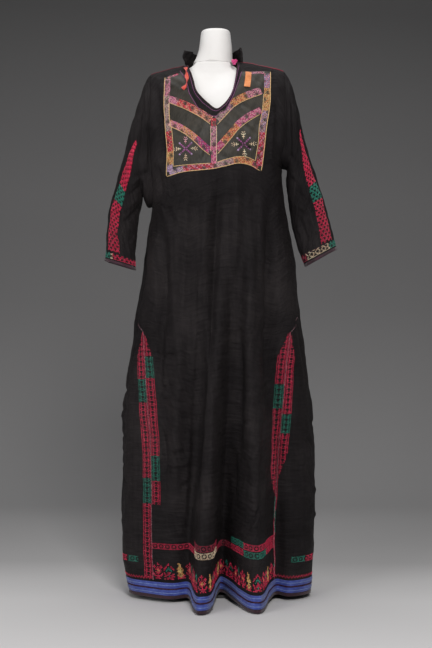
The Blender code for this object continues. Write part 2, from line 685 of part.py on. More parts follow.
# ---------------------------------------------------------------- the form
def rounded_solid(name, table, material):
    """A closed solid through rounded sections."""
    build = bmesh.new()
    power = 2.0 / FORM_ROUND
    rings = []
    for k in range(len(table["height"])):
        row = {column: values[k] for column, values in table.items()}
        loop = []
        for angle in np.linspace(0.0, 2 * math.pi, FORM_SIDES, endpoint=False):
            sine, cosine = math.sin(angle), math.cos(angle)
            depth = row["back"] if sine > 0 else row["front"]
            x = math.copysign(abs(cosine) ** power, cosine) * row["half"] + row["middle"]
            y = math.copysign(abs(sine) ** power, sine) * depth
            loop.append(build.verts.new((x, y, row["height"])))
        rings.append(loop)
    for low, high in zip(rings, rings[1:]):
        for j in range(FORM_SIDES):
            k = (j + 1) % FORM_SIDES
            build.faces.new((low[j], low[k], high[k], high[j]))
    build.faces.new(list(reversed(rings[0])))
    build.faces.new(rings[-1])
    bmesh.ops.recalc_face_normals(build, faces=build.faces)
    mesh = bpy.data.meshes.new(name)
    build.to_mesh(mesh)
    build.free()
    return add_object(name, mesh, material)


def make_form():
    """The limbless form, its neck block, its pole and its foot plate."""
    rounded_solid("form_torso", FORM, "white form")
    rounded_solid("form_neck", NECK, "white form")
    heights = (("form_pole", POLE_RADIUS, PLATE_HEIGHT + SEAM, FORM["height"][0] - SEAM, 20),
               ("form_plate", PLATE_RADIUS, 0.0, PLATE_HEIGHT, 40))
    for name, radius, low, high, sides in heights:
        build = bmesh.new()
        bmesh.ops.create_cone(build, cap_ends=True, segments=sides, radius1=radius,
                              radius2=radius, depth=high - low)
        mesh = bpy.data.meshes.new(name)
        build.to_mesh(mesh)
        build.free()
        piece = add_object(name, mesh, "painted steel")
        piece.location = (PLATE_MIDDLE[0], PLATE_MIDDLE[1], (low + high) / 2)


def start_scene():
    """Empty the scene, then add the collection, the stand's empty and the materials."""
    for old in list(bpy.data.objects):
        bpy.data.objects.remove(old, do_unlink=True)
    collection = bpy.data.collections.new("thobe_on_dress_form")
    bpy.context.scene.collection.children.link(collection)
    stand = bpy.data.objects.new("stand", None)
    stand.location = CENTRE_SHIFT
    collection.objects.link(stand)
    for name, (colour, roughness, metallic) in MATERIALS.items():
        material = bpy.data.materials.new(name)
        material.use_nodes = True
        shader = material.node_tree.nodes["Principled BSDF"]
        shader.inputs["Base Color"].default_value = (*colour, 1.0)
        shader.inputs["Roughness"].default_value = roughness
        shader.inputs["Metallic"].default_value = metallic


def main():
    """Make the whole object."""
    start_scene()
    make_sleeves(make_body())
    make_collar()
    make_tie_tabs()
    make_form()


main()
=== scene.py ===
# %% [markdown]
# # A Palestinian thobe on a limbless dress form
#
# A thobe is a long dress cut from straight widths of black cotton: a front, a back, a triangular
# gore in each side, and two straight sleeves.  Its worth is in what is sewn on it: a silk chest
# panel, bands of cross-stitch down the seams and sleeves, and bright tape round the hem.
#
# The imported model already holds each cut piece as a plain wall.  This file makes the same pieces
# again as fine cloth, with their creases, and then adds the thread.

# %% Start from the fixed frame
import math

import bpy
import numpy as np
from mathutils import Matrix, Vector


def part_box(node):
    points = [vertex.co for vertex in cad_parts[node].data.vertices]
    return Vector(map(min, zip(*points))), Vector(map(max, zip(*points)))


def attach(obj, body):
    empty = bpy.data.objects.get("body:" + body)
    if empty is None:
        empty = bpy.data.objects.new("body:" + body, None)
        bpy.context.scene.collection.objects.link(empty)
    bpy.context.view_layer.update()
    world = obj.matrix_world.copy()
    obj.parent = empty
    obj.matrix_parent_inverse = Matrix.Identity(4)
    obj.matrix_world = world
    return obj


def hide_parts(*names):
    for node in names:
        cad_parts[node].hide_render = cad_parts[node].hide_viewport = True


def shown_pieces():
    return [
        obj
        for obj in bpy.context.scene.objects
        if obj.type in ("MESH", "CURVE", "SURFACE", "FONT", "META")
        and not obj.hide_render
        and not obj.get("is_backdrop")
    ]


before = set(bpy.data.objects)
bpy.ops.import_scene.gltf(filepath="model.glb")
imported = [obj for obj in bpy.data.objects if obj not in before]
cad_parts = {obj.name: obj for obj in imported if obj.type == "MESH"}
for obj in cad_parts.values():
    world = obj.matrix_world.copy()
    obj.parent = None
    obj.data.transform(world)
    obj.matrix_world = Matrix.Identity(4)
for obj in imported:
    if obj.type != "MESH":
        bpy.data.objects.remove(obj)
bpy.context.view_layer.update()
bpy.ops.object.select_all(action="DESELECT")
RANDOM = np.random.default_rng(7)
print("packed pieces:", len(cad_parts))

# %% [markdown]
# ## The sizes of the cut pieces
#
# The walls of the frame come from a few tables: a ring round the body at each height, the largest
# folds, the gore seams and the neck edge.  They are repeated here so that the fine cloth lies
# where the plain walls are.  The foot plate tells how far the whole object was moved to put its
# middle over the origin.

# %% Driving sizes
CLOTH = 0.0016
APPLIED = 0.0012
SEAM = 0.0003
ARMHOLE_SEAM = 0.0009
HEM = 0.0120
TAPE_TOP = 0.0460
EDGING_DROP = 0.0090
HEM_RISE = 0.0090
HEM_RISE_REACH = 0.35
DEEP_FOLD = 0.100
BUST = 1.2000
SHOULDER_TOP = 1.4300
SHOULDER_MIDDLE = 0.020
SHOULDER_FALL = 0.95
FRONT_ROUND, BACK_ROUND, SECTION_ROUND = 1.7, 2.8, 2.4
ARMHOLE_LEFT, ARMHOLE_RIGHT = -0.174, 0.182
ARMPIT_LEFT, ARMPIT_RIGHT = 1.0400, 1.1450
GORE_TOP, GORE_TIP = 0.7600, 0.7550
PANEL_BOTTOM, PANEL_BOTTOM_TILT, PANEL_TOP = 1.1180, 0.10, 1.3800
PLATE_MIDDLE = (0.004, 0.066)

plate_low, plate_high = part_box("form_plate")
SHIFT = np.array([(plate_low[k] + plate_high[k]) / 2 - PLATE_MIDDLE[k] for k in (0, 1)] + [0.0])
print("the whole object was moved by", SHIFT.round(4))


def columns(names, rows):
    """Turn a table of rows into one array for each named column."""
    return {name: np.array(values, dtype=float) for name, values in zip(names, zip(*rows))}


BODY = columns(("height", "left", "right", "front", "back"), [
    (0.000, -0.229, 0.252, 0.100, 0.170),
    (0.060, -0.243, 0.257, 0.101, 0.168),
    (0.110, -0.250, 0.262, 0.102, 0.166),
    (0.240, -0.247, 0.259, 0.105, 0.160),
    (0.400, -0.245, 0.256, 0.109, 0.151),
    (0.520, -0.244, 0.251, 0.113, 0.143),
    (0.600, -0.237, 0.243, 0.116, 0.136),
    (0.680, -0.219, 0.232, 0.119, 0.129),
    (0.760, -0.211, 0.219, 0.122, 0.122),
    (0.870, -0.190, 0.210, 0.125, 0.112),
    (0.960, -0.184, 0.198, 0.127, 0.108),
    (1.040, -0.170, 0.184, 0.128, 0.107),
    (1.100, -0.180, 0.178, 0.129, 0.109),
    (1.145, -0.192, 0.178, 0.129, 0.111),
    (1.200, -0.200, 0.208, 0.128, 0.112),
])
FOLDS = columns(("side", "start", "across_top", "across_hem", "depth", "half_top", "half_hem",
                 "skew", "edge", "growth"), [
    (-1, 0.98, 0.006, -0.0325, 0.140, 0.036, 0.0300, 1.00, 4.6, 1.35),
    (-1, 1.00, 0.104, 0.1060, 0.128, 0.044, 0.0500, 0.58, 2.3, 1.25),
    (-1, 1.05, -0.020, -0.080, -0.012, 0.020, 0.020, 1.00, 2.0, 0.80),
    (-1, 0.95, 0.046, 0.012, -0.062, 0.024, 0.028, 1.00, 2.0, 1.30),
    (-1, 0.92, 0.152, 0.158, -0.030, 0.018, 0.022, 1.00, 2.0, 0.90),
    (-1, 0.90, -0.112, -0.120, 0.010, 0.040, 0.045, 1.00, 2.0, 0.70),
    (1, 1.05, -0.085, -0.110, 0.058, 0.040, 0.040, 0.80, 2.6, 1.20),
    (1, 1.10, -0.005, -0.012, 0.040, 0.030, 0.034, 1.20, 2.4, 1.20),
    (1, 1.05, 0.080, 0.095, 0.064, 0.040, 0.042, 0.85, 2.6, 1.20),
    (1, 1.05, 0.040, 0.042, -0.020, 0.022, 0.024, 1.00, 2.0, 1.00),
    (1, 1.00, -0.045, -0.058, -0.018, 0.022, 0.024, 1.00, 2.0, 1.00),
])
GORE_SEAM = columns(("height", "left", "right"), [
    (0.000, 0.163, 0.152),
    (0.150, 0.168, 0.152),
    (0.250, 0.168, 0.155),
    (0.400, 0.170, 0.164),
    (0.520, 0.180, 0.175),
    (0.620, 0.186, 0.183),
    (0.700, 0.192, 0.194),
])
NECK_EDGE = columns(("across", "height"), [
    (-0.078, 1.425), (-0.073, 1.416), (-0.060, 1.386), (-0.0545, 1.347), (-0.029, 1.302),
    (-0.0157, 1.2865), (0.000, 1.2825), (0.018, 1.2955), (0.034, 1.331), (0.046, 1.377),
    (0.054, 1.406), (0.058, 1.425),
])
BINDING_EDGE = columns(("across", "height"), [
    (-0.096, 1.400), (-0.078, 1.370), (-0.070, 1.330), (-0.045, 1.285), (-0.0157, 1.266),
    (0.000, 1.264), (0.024, 1.278), (0.046, 1.325), (0.058, 1.362), (0.068, 1.395),
])
FINE_NECK = columns(("across", "height"), [
    (-0.0780, 1.4250), (-0.0720, 1.4080), (-0.0640, 1.3860), (-0.0575, 1.3620), (-0.0530, 1.3400),
    (-0.0420, 1.3240), (-0.0280, 1.3090), (-0.0150, 1.2960), (-0.0030, 1.2850), (0.0040, 1.2840),
    (0.0140, 1.2910), (0.0270, 1.3060), (0.0380, 1.3230), (0.0445, 1.3400), (0.0500, 1.3640),
    (0.0540, 1.3900), (0.0580, 1.4250),
])
NECK_BACK = columns(("across", "height"), [
    (-0.078, 1.425), (-0.066, 1.404), (-0.040, 1.396), (0.020, 1.396), (0.048, 1.404),
    (0.058, 1.425),
])

# %% [markdown]
# ## One surface for the whole body
#
# Front, back and gores are cut from one surface, so their seams meet.  A place on it has three
# numbers: side (-1 in front, 1 behind), turn (from -1 at the left to 1 at the right) and level (the
# height, and above the bust the share of the way over the shoulder).  Everything below works on
# whole arrays at once, because the cloth has tens of thousands of points.


# %% The body's surface
def smooth(low, high, value):
    """Rise from 0 to 1 between two values, with no corners."""
    share = np.clip((value - low) / (high - low), 0.0, 1.0)
    return share * share * (3.0 - 2.0 * share)


def curve(places, values, at):
    """Read a table's column between its rows on a smooth curve."""
    slopes = np.gradient(values, places)
    index = np.clip(np.searchsorted(places, at) - 1, 0, len(places) - 2)
    start, end = places[index], places[index + 1]
    span = end - start
    t = np.clip((at - start) / span, 0.0, 1.0)
    rise = values[index + 1] - values[index]
    bend = (slopes[index] * span, slopes[index + 1] * span)
    hermite = t * t * (3 - 2 * t) * rise + t * (1 - t) ** 2 * bend[0] - t * t * (1 - t) * bend[1]
    return values[index] + hermite


def unit(vectors):
    """Scale vectors to a length of one."""
    return vectors / np.maximum(np.linalg.norm(vectors, axis=-1, keepdims=True), 1e-12)


def ring(name, height):
    """One column of the BODY table at some heights."""
    return curve(BODY["height"], BODY[name], np.minimum(height, BUST))


def fold_depth(side, across, height):
    """How far the folds push the cloth out at some places."""
    total = np.zeros(np.broadcast(side, across, height).shape)
    for k in range(len(FOLDS["side"])):
        fold = {name: column[k] for name, column in FOLDS.items()}
        grown = np.maximum((fold["start"] - height) / fold["start"], 0.0)
        middle = fold["across_top"] + (fold["across_hem"] - fold["across_top"]) * grown
        half = fold["half_top"] + (fold["half_hem"] - fold["half_top"]) * grown
        half = np.where(across > middle, half * fold["skew"], half)
        crest = np.exp(-np.abs((across - middle) / half) ** fold["edge"])
        push = fold["depth"] * grown ** fold["growth"] * crest
        total += np.where(side == fold["side"], push, 0.0)
    return total


def shoulder(across):
    """Height of the shoulder line."""
    return SHOULDER_TOP - SHOULDER_FALL * (across - SHOULDER_MIDDLE) ** 2


def dome_power(side):
    """Exponent of the curve from the bust over the shoulder."""
    return 2.0 / np.where(np.asarray(side) < 0, FRONT_ROUND, BACK_ROUND)


def dome_share(side, across, height):
    """Share of the way from the bust to the shoulder seam at which a height is reached."""
    rise = np.clip((height - BUST) / (shoulder(across) - BUST), 0.0, 1.0)
    return np.arcsin(rise ** (1.0 / dome_power(side))) * 2.0 / np.pi


def surface(side, turn, level):
    """Points of the dress body."""
    side, turn, level = (np.array(part, float) for part in np.broadcast_arrays(side, turn, level))
    beyond = np.abs(turn) > 1.0
    side = np.where(beyond, -side, side)
    turn = np.where(beyond, np.sign(turn) * (2.0 - np.abs(turn)), turn)
    share = level - BUST
    side = np.where(share > 1.0, -side, side)
    share = np.clip(np.where(share > 1.0, 2.0 - share, share), 0.0, 1.0)
    height = np.minimum(level, BUST)
    left, right = ring("left", height), ring("right", height)
    depth = np.where(side < 0, ring("front", height), ring("back", height))
    sine, cosine = np.sin(turn * np.pi / 2), np.maximum(np.cos(turn * np.pi / 2), 0.0)
    power = 2.0 / SECTION_ROUND
    across = (left + right) / 2 + (right - left) / 2 * np.sign(sine) * np.abs(sine) ** power
    out = cosine ** power
    folds = fold_depth(side, across, height)
    away = depth * out + folds * smooth(0.0, 0.55, out)
    flat = 1.0 - np.clip(folds / DEEP_FOLD, -0.6, 1.0)
    height = height + HEM_RISE * flat * (1.0 - smooth(0.0, HEM_RISE_REACH, height))
    angle = share * np.pi / 2
    away = away * np.maximum(np.cos(angle), 0.0) ** dome_power(side)
    height = height + (shoulder(across) - BUST) * np.sin(angle) ** dome_power(side)
    return np.stack((across, side * away, height), axis=-1)


def outward(side, turn, level):
    """The directions straight out of the cloth."""
    along = surface(side, turn + 0.003, level) - surface(side, turn - 0.003, level)
    up = surface(side, turn, level + 0.002) - surface(side, turn, level - 0.002)
    facing = np.broadcast_to(side, along.shape[:-1])[..., None]
    return -facing * unit(np.cross(along, up))


def turn_at(across, height):
    """The turn of a ring at a place across the body."""
    left, right = ring("left", height), ring("right", height)
    share = (across - (left + right) / 2) / ((right - left) / 2)
    sine = np.minimum(np.abs(share), 1.0) ** (SECTION_ROUND / 2)
    return np.sign(share) * np.arcsin(sine) * 2 / np.pi


def edge_turn(hand, level):
    """Where the front and back pieces end: at the gore, the side seam or the armhole."""
    armpit = ARMPIT_LEFT if hand < 0 else ARMPIT_RIGHT
    armhole = ARMHOLE_LEFT if hand < 0 else ARMHOLE_RIGHT
    if level >= BUST:
        return float(turn_at(armhole, BUST))
    if level > armpit:
        rise = (level - armpit) / (BUST - armpit)
        open_cosine = math.cos(turn_at(armhole, BUST) * math.pi / 2)
        cosine = open_cosine * math.sqrt(1.0 - (1.0 - rise) ** 2)
        return math.copysign(math.acos(cosine) * 2 / math.pi, hand)
    if level >= GORE_TOP:
        return float(hand)
    across = hand * np.interp(level, GORE_SEAM["height"], GORE_SEAM["left" if hand < 0 else "right"])
    near_top = float(smooth(0.70, GORE_TOP, level))
    return float(turn_at(across, level)) * (1.0 - near_top) + hand * near_top


print("front of the waist:", surface(-1, 0.0, 1.0).round(3))

# %% [markdown]
# ## Creases
#
# Hanging cotton never lies even.  Long soft ridges and valleys fall from the bust, sharp little
# creases remember how the dress was folded away, and the cloth bunches where the arms bend.  A
# simulation would give some creases, but not these, so each is listed: a line on the cloth
# with a width, a depth (below zero for a trough) and a bow.  The back gets similar ones.

# %% Creases of the body
CREASE_NAMES = ("from_a", "from_z", "to_a", "to_z", "half", "depth", "bow")
SHARP_HALF, SHARP_WIDER, SHARP_DEEPER, GORE_SHALLOWER = 0.0056, 1.5, 1.7, 1.9


def creases(rows, shallower=1.0):
    """A table of creases, its sharp ones widened and deepened, to a tenth of a millimetre."""
    table = columns(CREASE_NAMES, rows)
    sharp = table["half"] < SHARP_HALF
    deep = ((table["depth"] * SHARP_DEEPER).round(4) / shallower).round(4)
    table["depth"] = np.where(sharp, deep, table["depth"])
    table["half"] = np.where(sharp, (table["half"] * SHARP_WIDER).round(4), table["half"])
    return table


FRONT_CREASES = creases([
    (-0.021, 1.13, -0.060, 0.52, 0.017, 0.0080, 0.004),     # ridges that fall from the panel
    (0.046, 1.14, 0.040, 0.80, 0.015, 0.0080, 0.008),
    (0.118, 1.13, 0.090, 0.60, 0.016, 0.0070, -0.006),
    (0.080, 0.98, 0.088, 0.30, 0.013, 0.0080, 0.004),
    (-0.078, 1.12, -0.104, 0.60, 0.016, -0.0058, 0.006),    # valleys between them
    (0.012, 1.13, -0.020, 0.50, 0.012, -0.0110, -0.006),
    (0.096, 1.10, 0.104, 0.80, 0.011, -0.0055, 0.004),
    (0.141, 1.08, 0.136, 0.44, 0.013, -0.0120, 0.003),
    (-0.140, 0.92, -0.154, 0.46, 0.010, -0.0060, 0.003),
    (-0.150, 1.02, -0.128, 0.66, 0.015, -0.0080, 0.004),
    (-0.034, 0.80, -0.066, 0.20, 0.012, -0.0085, 0.005),
    (-0.086, 0.80, -0.104, 0.20, 0.018, 0.0080, -0.006),
    (-0.066, 0.50, -0.094, 0.14, 0.010, 0.0030, 0.004),
    (0.056, 0.76, 0.046, 0.28, 0.013, -0.0100, 0.003),
    (0.100, 0.62, 0.094, 0.26, 0.014, 0.0034, 0.004),
    (0.124, 0.52, 0.116, 0.10, 0.008, -0.0034, -0.003),
    (-0.010, 0.60, -0.020, 0.20, 0.008, 0.0030, 0.002),
    (-0.128, 1.105, -0.106, 1.060, 0.006, -0.0030, 0.004),  # crinkles beside the panel
    (-0.146, 1.080, -0.118, 0.985, 0.006, 0.0028, -0.005),
    (-0.132, 1.030, -0.104, 0.968, 0.0050, -0.0026, 0.004),
    (-0.160, 1.150, -0.140, 1.040, 0.007, -0.0034, 0.003),
    (-0.148, 1.300, -0.141, 1.120, 0.011, -0.0060, 0.002),
    (-0.160, 1.370, -0.150, 1.200, 0.009, -0.0036, 0.004),
    (0.160, 1.340, 0.152, 1.130, 0.009, -0.0030, 0.003),
    (0.152, 1.300, 0.146, 1.100, 0.006, 0.0022, -0.002),
    (-0.152, 0.642, -0.092, 0.650, 0.0036, -0.0022, 0.003),  # marks of long storage
    (-0.146, 0.628, -0.080, 0.634, 0.0034, 0.0016, -0.003),
    (-0.150, 0.556, -0.088, 0.570, 0.0036, -0.0022, 0.004),
    (-0.148, 0.534, -0.096, 0.538, 0.0032, -0.0018, -0.002),
    (-0.126, 0.520, -0.082, 0.548, 0.0034, 0.0018, 0.002),
    (-0.122, 0.388, -0.060, 0.396, 0.0036, -0.0020, 0.003),
    (-0.116, 0.362, -0.064, 0.372, 0.0034, 0.0018, -0.003),
    (-0.144, 0.470, -0.126, 0.330, 0.0050, -0.0026, 0.004),
    (-0.096, 0.300, -0.058, 0.322, 0.0036, -0.0018, 0.002),
    (0.050, 0.470, 0.120, 0.480, 0.0036, -0.0014, 0.002),
    (0.060, 0.412, 0.116, 0.406, 0.0034, -0.0014, -0.002),
    (0.076, 0.205, 0.126, 0.275, 0.0040, -0.0030, 0.002),    # the long diagonal by the right fold
    (0.086, 0.200, 0.130, 0.262, 0.0044, 0.0016, 0.002),
    (0.036, 0.420, 0.052, 0.240, 0.0060, -0.0030, 0.003),
    (-0.010, 0.560, 0.016, 0.548, 0.0034, -0.0014, 0.001),
    (-0.092, 1.250, -0.060, 1.160, 0.0060, 0.0012, 0.002),   # under the chest panel
    (0.050, 1.240, 0.058, 1.150, 0.0060, 0.0014, 0.002),
    (-0.030, 1.150, -0.012, 1.250, 0.0060, -0.0014, 0.002),
    (0.096, 1.180, 0.060, 1.200, 0.0036, -0.0016, 0.001),
])
BACK_CREASES = creases([
    (-0.120, 1.12, -0.132, 0.56, 0.016, -0.0060, 0.005),
    (-0.046, 1.16, -0.052, 0.60, 0.015, 0.0050, -0.004),
    (0.034, 1.15, 0.030, 0.66, 0.013, -0.0060, 0.005),
    (0.112, 1.12, 0.128, 0.58, 0.015, 0.0052, 0.004),
    (-0.086, 1.30, -0.110, 1.06, 0.016, 0.0040, 0.006),
    (0.080, 1.32, 0.118, 1.06, 0.016, 0.0040, -0.006),
    (-0.020, 1.36, -0.030, 1.10, 0.012, -0.0030, 0.003),
    (-0.150, 1.02, -0.120, 0.84, 0.008, -0.0036, 0.004),
    (0.152, 1.06, 0.128, 0.88, 0.008, -0.0036, -0.004),
    (-0.030, 0.62, -0.026, 0.16, 0.010, -0.0044, 0.003),
    (0.140, 0.60, 0.146, 0.14, 0.010, -0.0040, 0.003),
    (-0.140, 0.50, -0.146, 0.12, 0.012, 0.0036, 0.004),
    (0.060, 0.52, 0.064, 0.16, 0.008, 0.0030, 0.003),
    (-0.130, 0.702, -0.050, 0.706, 0.0036, -0.0020, 0.003),
    (-0.124, 0.560, -0.040, 0.552, 0.0036, -0.0020, -0.003),
    (0.040, 0.584, 0.126, 0.592, 0.0036, -0.0020, 0.003),
    (0.052, 0.436, 0.130, 0.424, 0.0034, 0.0018, -0.003),
    (-0.110, 0.350, -0.050, 0.366, 0.0036, -0.0018, 0.003),
    (0.020, 0.900, 0.100, 0.912, 0.0038, -0.0018, 0.004),
    (-0.100, 0.940, -0.030, 0.926, 0.0038, 0.0016, 0.003),
    (0.060, 0.260, 0.110, 0.300, 0.0040, -0.0024, 0.002),
])
LEFT_CREASES = creases([
    (-0.030, 0.92, -0.026, 0.44, 0.014, -0.0044, 0.006),
    (0.030, 1.00, 0.036, 0.50, 0.016, 0.0046, -0.006),
    (0.060, 0.70, 0.070, 0.14, 0.014, -0.0052, 0.006),
    (0.004, 0.60, 0.010, 0.10, 0.014, 0.0044, 0.005),
    (-0.052, 0.542, 0.040, 0.548, 0.0038, -0.0024, 0.004),
    (-0.050, 0.508, 0.034, 0.500, 0.0036, -0.0022, -0.003),
    (-0.056, 0.470, 0.026, 0.482, 0.0038, 0.0022, 0.004),
    (-0.048, 0.430, 0.044, 0.424, 0.0036, -0.0024, 0.003),
    (-0.050, 0.386, 0.022, 0.398, 0.0036, 0.0020, -0.003),
    (-0.054, 0.352, 0.034, 0.346, 0.0036, -0.0022, 0.003),
    (-0.046, 0.300, 0.014, 0.318, 0.0040, -0.0024, 0.004),
    (-0.040, 0.230, 0.020, 0.180, 0.0060, 0.0015, 0.004),
    (0.040, 0.640, 0.090, 0.660, 0.0036, -0.0020, 0.003),
], GORE_SHALLOWER)
RIGHT_CREASES = creases([
    (-0.040, 0.96, -0.034, 0.52, 0.013, -0.0046, 0.006),
    (0.024, 1.04, 0.034, 0.50, 0.016, 0.0046, -0.006),
    (0.066, 0.72, 0.072, 0.16, 0.014, -0.0052, 0.006),
    (0.010, 0.58, 0.000, 0.12, 0.014, 0.0050, 0.005),
    (-0.056, 0.432, -0.006, 0.392, 0.0050, -0.0040, 0.004),
    (-0.052, 0.392, 0.010, 0.340, 0.0048, 0.0034, -0.003),
    (-0.058, 0.360, -0.010, 0.300, 0.0052, -0.0042, 0.004),
    (-0.050, 0.312, 0.016, 0.268, 0.0050, 0.0034, 0.003),
    (-0.056, 0.274, -0.004, 0.236, 0.0048, -0.0038, -0.003),
    (-0.046, 0.236, 0.020, 0.204, 0.0044, 0.0028, 0.003),
    (-0.054, 0.196, 0.000, 0.180, 0.0044, -0.0028, 0.003),
    (-0.040, 0.470, 0.026, 0.452, 0.0040, -0.0024, 0.004),
    (0.036, 0.600, 0.086, 0.580, 0.0036, -0.0020, 0.003),
], GORE_SHALLOWER)
RUMPLE_WAYS = unit(RANDOM.normal(size=(9, 3)))
RUMPLE_STARTS = RANDOM.uniform(0.0, 2 * np.pi, 9)


def crease_lift(table, a, z):
    """How far a table's creases lift the cloth at places (a, z)."""
    total = np.zeros(np.broadcast(a, z).shape)
    for k in range(len(table["half"])):
        row = {name: column[k] for name, column in table.items()}
        along = np.array((row["to_a"] - row["from_a"], row["to_z"] - row["from_z"]))
        length = np.linalg.norm(along)
        t = ((a - row["from_a"]) * along[0] + (z - row["from_z"]) * along[1]) / length ** 2
        t = np.clip(t, 0.0, 1.0)
        bow = row["bow"] * 4 * t * (1 - t)
        centre_a = row["from_a"] + along[0] * t - along[1] / length * bow
        centre_z = row["from_z"] + along[1] * t + along[0] / length * bow
        away = ((a - centre_a) ** 2 + (z - centre_z) ** 2) / row["half"] ** 2
        ends = smooth(0.0, 0.22, t) * (1.0 - smooth(0.65, 1.0, t))
        total += row["depth"] * ends * np.exp(-away)
    return total


def rumple(points, size, depth):
    """A slight unevenness, as of cloth that was folded and shaken out."""
    total = 0.0
    for k, (way, start) in enumerate(zip(RUMPLE_WAYS, RUMPLE_STARTS)):
        total = total + np.sin(points @ way * 2 * np.pi / (size * (0.6 + 0.11 * k)) + start)
    return total * depth / 3.0


def dress(side, turn, level, lift=0.0):
    """Points of the creased body, lifted off the cloth, and the directions out of it."""
    points, out = surface(side, turn, level), outward(side, turn, level)
    side, turn = np.broadcast_to(side, out.shape[:-1]), np.broadcast_to(turn, out.shape[:-1])
    sine, cosine = np.sin(turn * np.pi / 2), np.maximum(np.cos(turn * np.pi / 2), 0.0)
    x, y, z = points[..., 0], points[..., 1], points[..., 2]
    facing = smooth(0.05, 0.35, cosine)
    flank = smooth(0.62, 0.86, np.abs(sine))
    rise = np.where(side < 0, facing * crease_lift(FRONT_CREASES, x, z),
                    facing * crease_lift(BACK_CREASES, x, z))
    rise = rise + flank * np.where(turn < 0, crease_lift(LEFT_CREASES, y, z),
                                   crease_lift(RIGHT_CREASES, y, z))
    near_edge = smooth(HEM, 0.10, z) * 0.7 + 0.3
    rise = (rise * 1.75 + rumple(points, 0.085, 0.0014) + rumple(points, 0.028, 0.00050)) * near_edge
    return points + out * (rise + lift)[..., None], out


print("creases:", sum(len(t["half"]) for t in (FRONT_CREASES, BACK_CREASES, LEFT_CREASES,
                                                RIGHT_CREASES)))

# %% [markdown]
# ## Finishes
#
# Each finish is one small tree of nodes.  Woven cloth reads the piece's own UV map, which is laid
# out in metres along the threads, so the weave follows the folds.  The slow variation in tone reads
# object coordinates.  Thread takes its colour from an attribute on the mesh, because each stitch has
# its own dye lot.  The same attribute carries painted light: a highlight on a few stitches and on the
# pale lines of the hem, and shade on the left shoulder's cord.


# %% Helpers for the finishes
def start_material(name, colour, roughness, sheen=0.0, specular=0.5):
    """A new material, its tree and its shader."""
    material = bpy.data.materials.new(name)
    material.use_nodes = True
    tree = material.node_tree
    shader = tree.nodes["Principled BSDF"]
    shader.inputs["Base Color"].default_value = (*colour, 1.0)
    shader.inputs["Roughness"].default_value = roughness
    shader.inputs["Specular IOR Level"].default_value = specular
    shader.inputs["Sheen Weight"].default_value = sheen
    shader.inputs["Sheen Roughness"].default_value = 0.45
    return material, tree, shader


def noise(tree, source, scale, stretch=(1.0, 1.0, 1.0), detail=3.0):
    """A noise texture over UV or object coordinates, stretched along the threads."""
    place = tree.nodes.new("ShaderNodeTexCoord")
    mapping = tree.nodes.new("ShaderNodeMapping")
    mapping.inputs["Scale"].default_value = [scale * share for share in stretch]
    texture = tree.nodes.new("ShaderNodeTexNoise")
    texture.inputs["Scale"].default_value = 1.0
    texture.inputs["Detail"].default_value = detail
    tree.links.new(place.outputs[source], mapping.inputs["Vector"])
    tree.links.new(mapping.outputs["Vector"], texture.inputs["Vector"])
    return texture.outputs["Fac"]


def combine(tree, operation, first, second):
    """A Math node on two values, each a socket or a number."""
    node = tree.nodes.new("ShaderNodeMath")
    node.operation = operation
    for value, socket in ((first, node.inputs[0]), (second, node.inputs[1])):
        if isinstance(value, (int, float)):
            socket.default_value = value
        else:
            tree.links.new(value, socket)
    return node.outputs[0]


def ramp(tree, factor, stops):
    """A colour ramp with stops of (place, colour)."""
    node = tree.nodes.new("ShaderNodeValToRGB")
    while len(node.color_ramp.elements) < len(stops):
        node.color_ramp.elements.new(0.5)
    for element, (place, colour) in zip(node.color_ramp.elements, stops):
        element.position = place
        element.color = (*colour, 1.0)
    tree.links.new(factor, node.inputs["Fac"])
    return node.outputs["Color"]


def bump(tree, shader, height, distance, strength=1.0):
    """Let a value raise the surface."""
    node = tree.nodes.new("ShaderNodeBump")
    node.inputs["Distance"].default_value = distance
    node.inputs["Strength"].default_value = strength
    tree.links.new(height, node.inputs["Height"])
    tree.links.new(node.outputs["Normal"], shader.inputs["Normal"])


def weave(tree, warp_pitch, weft_pitch):
    """Threads that cross: two waves along U and V, each broken by noise."""
    place = tree.nodes.new("ShaderNodeTexCoord")
    waves = []
    for direction, pitch in (("X", warp_pitch), ("Y", weft_pitch)):
        texture = tree.nodes.new("ShaderNodeTexWave")
        texture.bands_direction = direction
        texture.inputs["Scale"].default_value = 1.0 / (pitch * 20 / (2 * math.pi))
        texture.inputs["Distortion"].default_value = 1.2
        texture.inputs["Detail"].default_value = 1.0
        tree.links.new(place.outputs["UV"], texture.inputs["Vector"])
        waves.append(texture.outputs["Fac"])
    return combine(tree, "MAXIMUM", waves[0], waves[1])


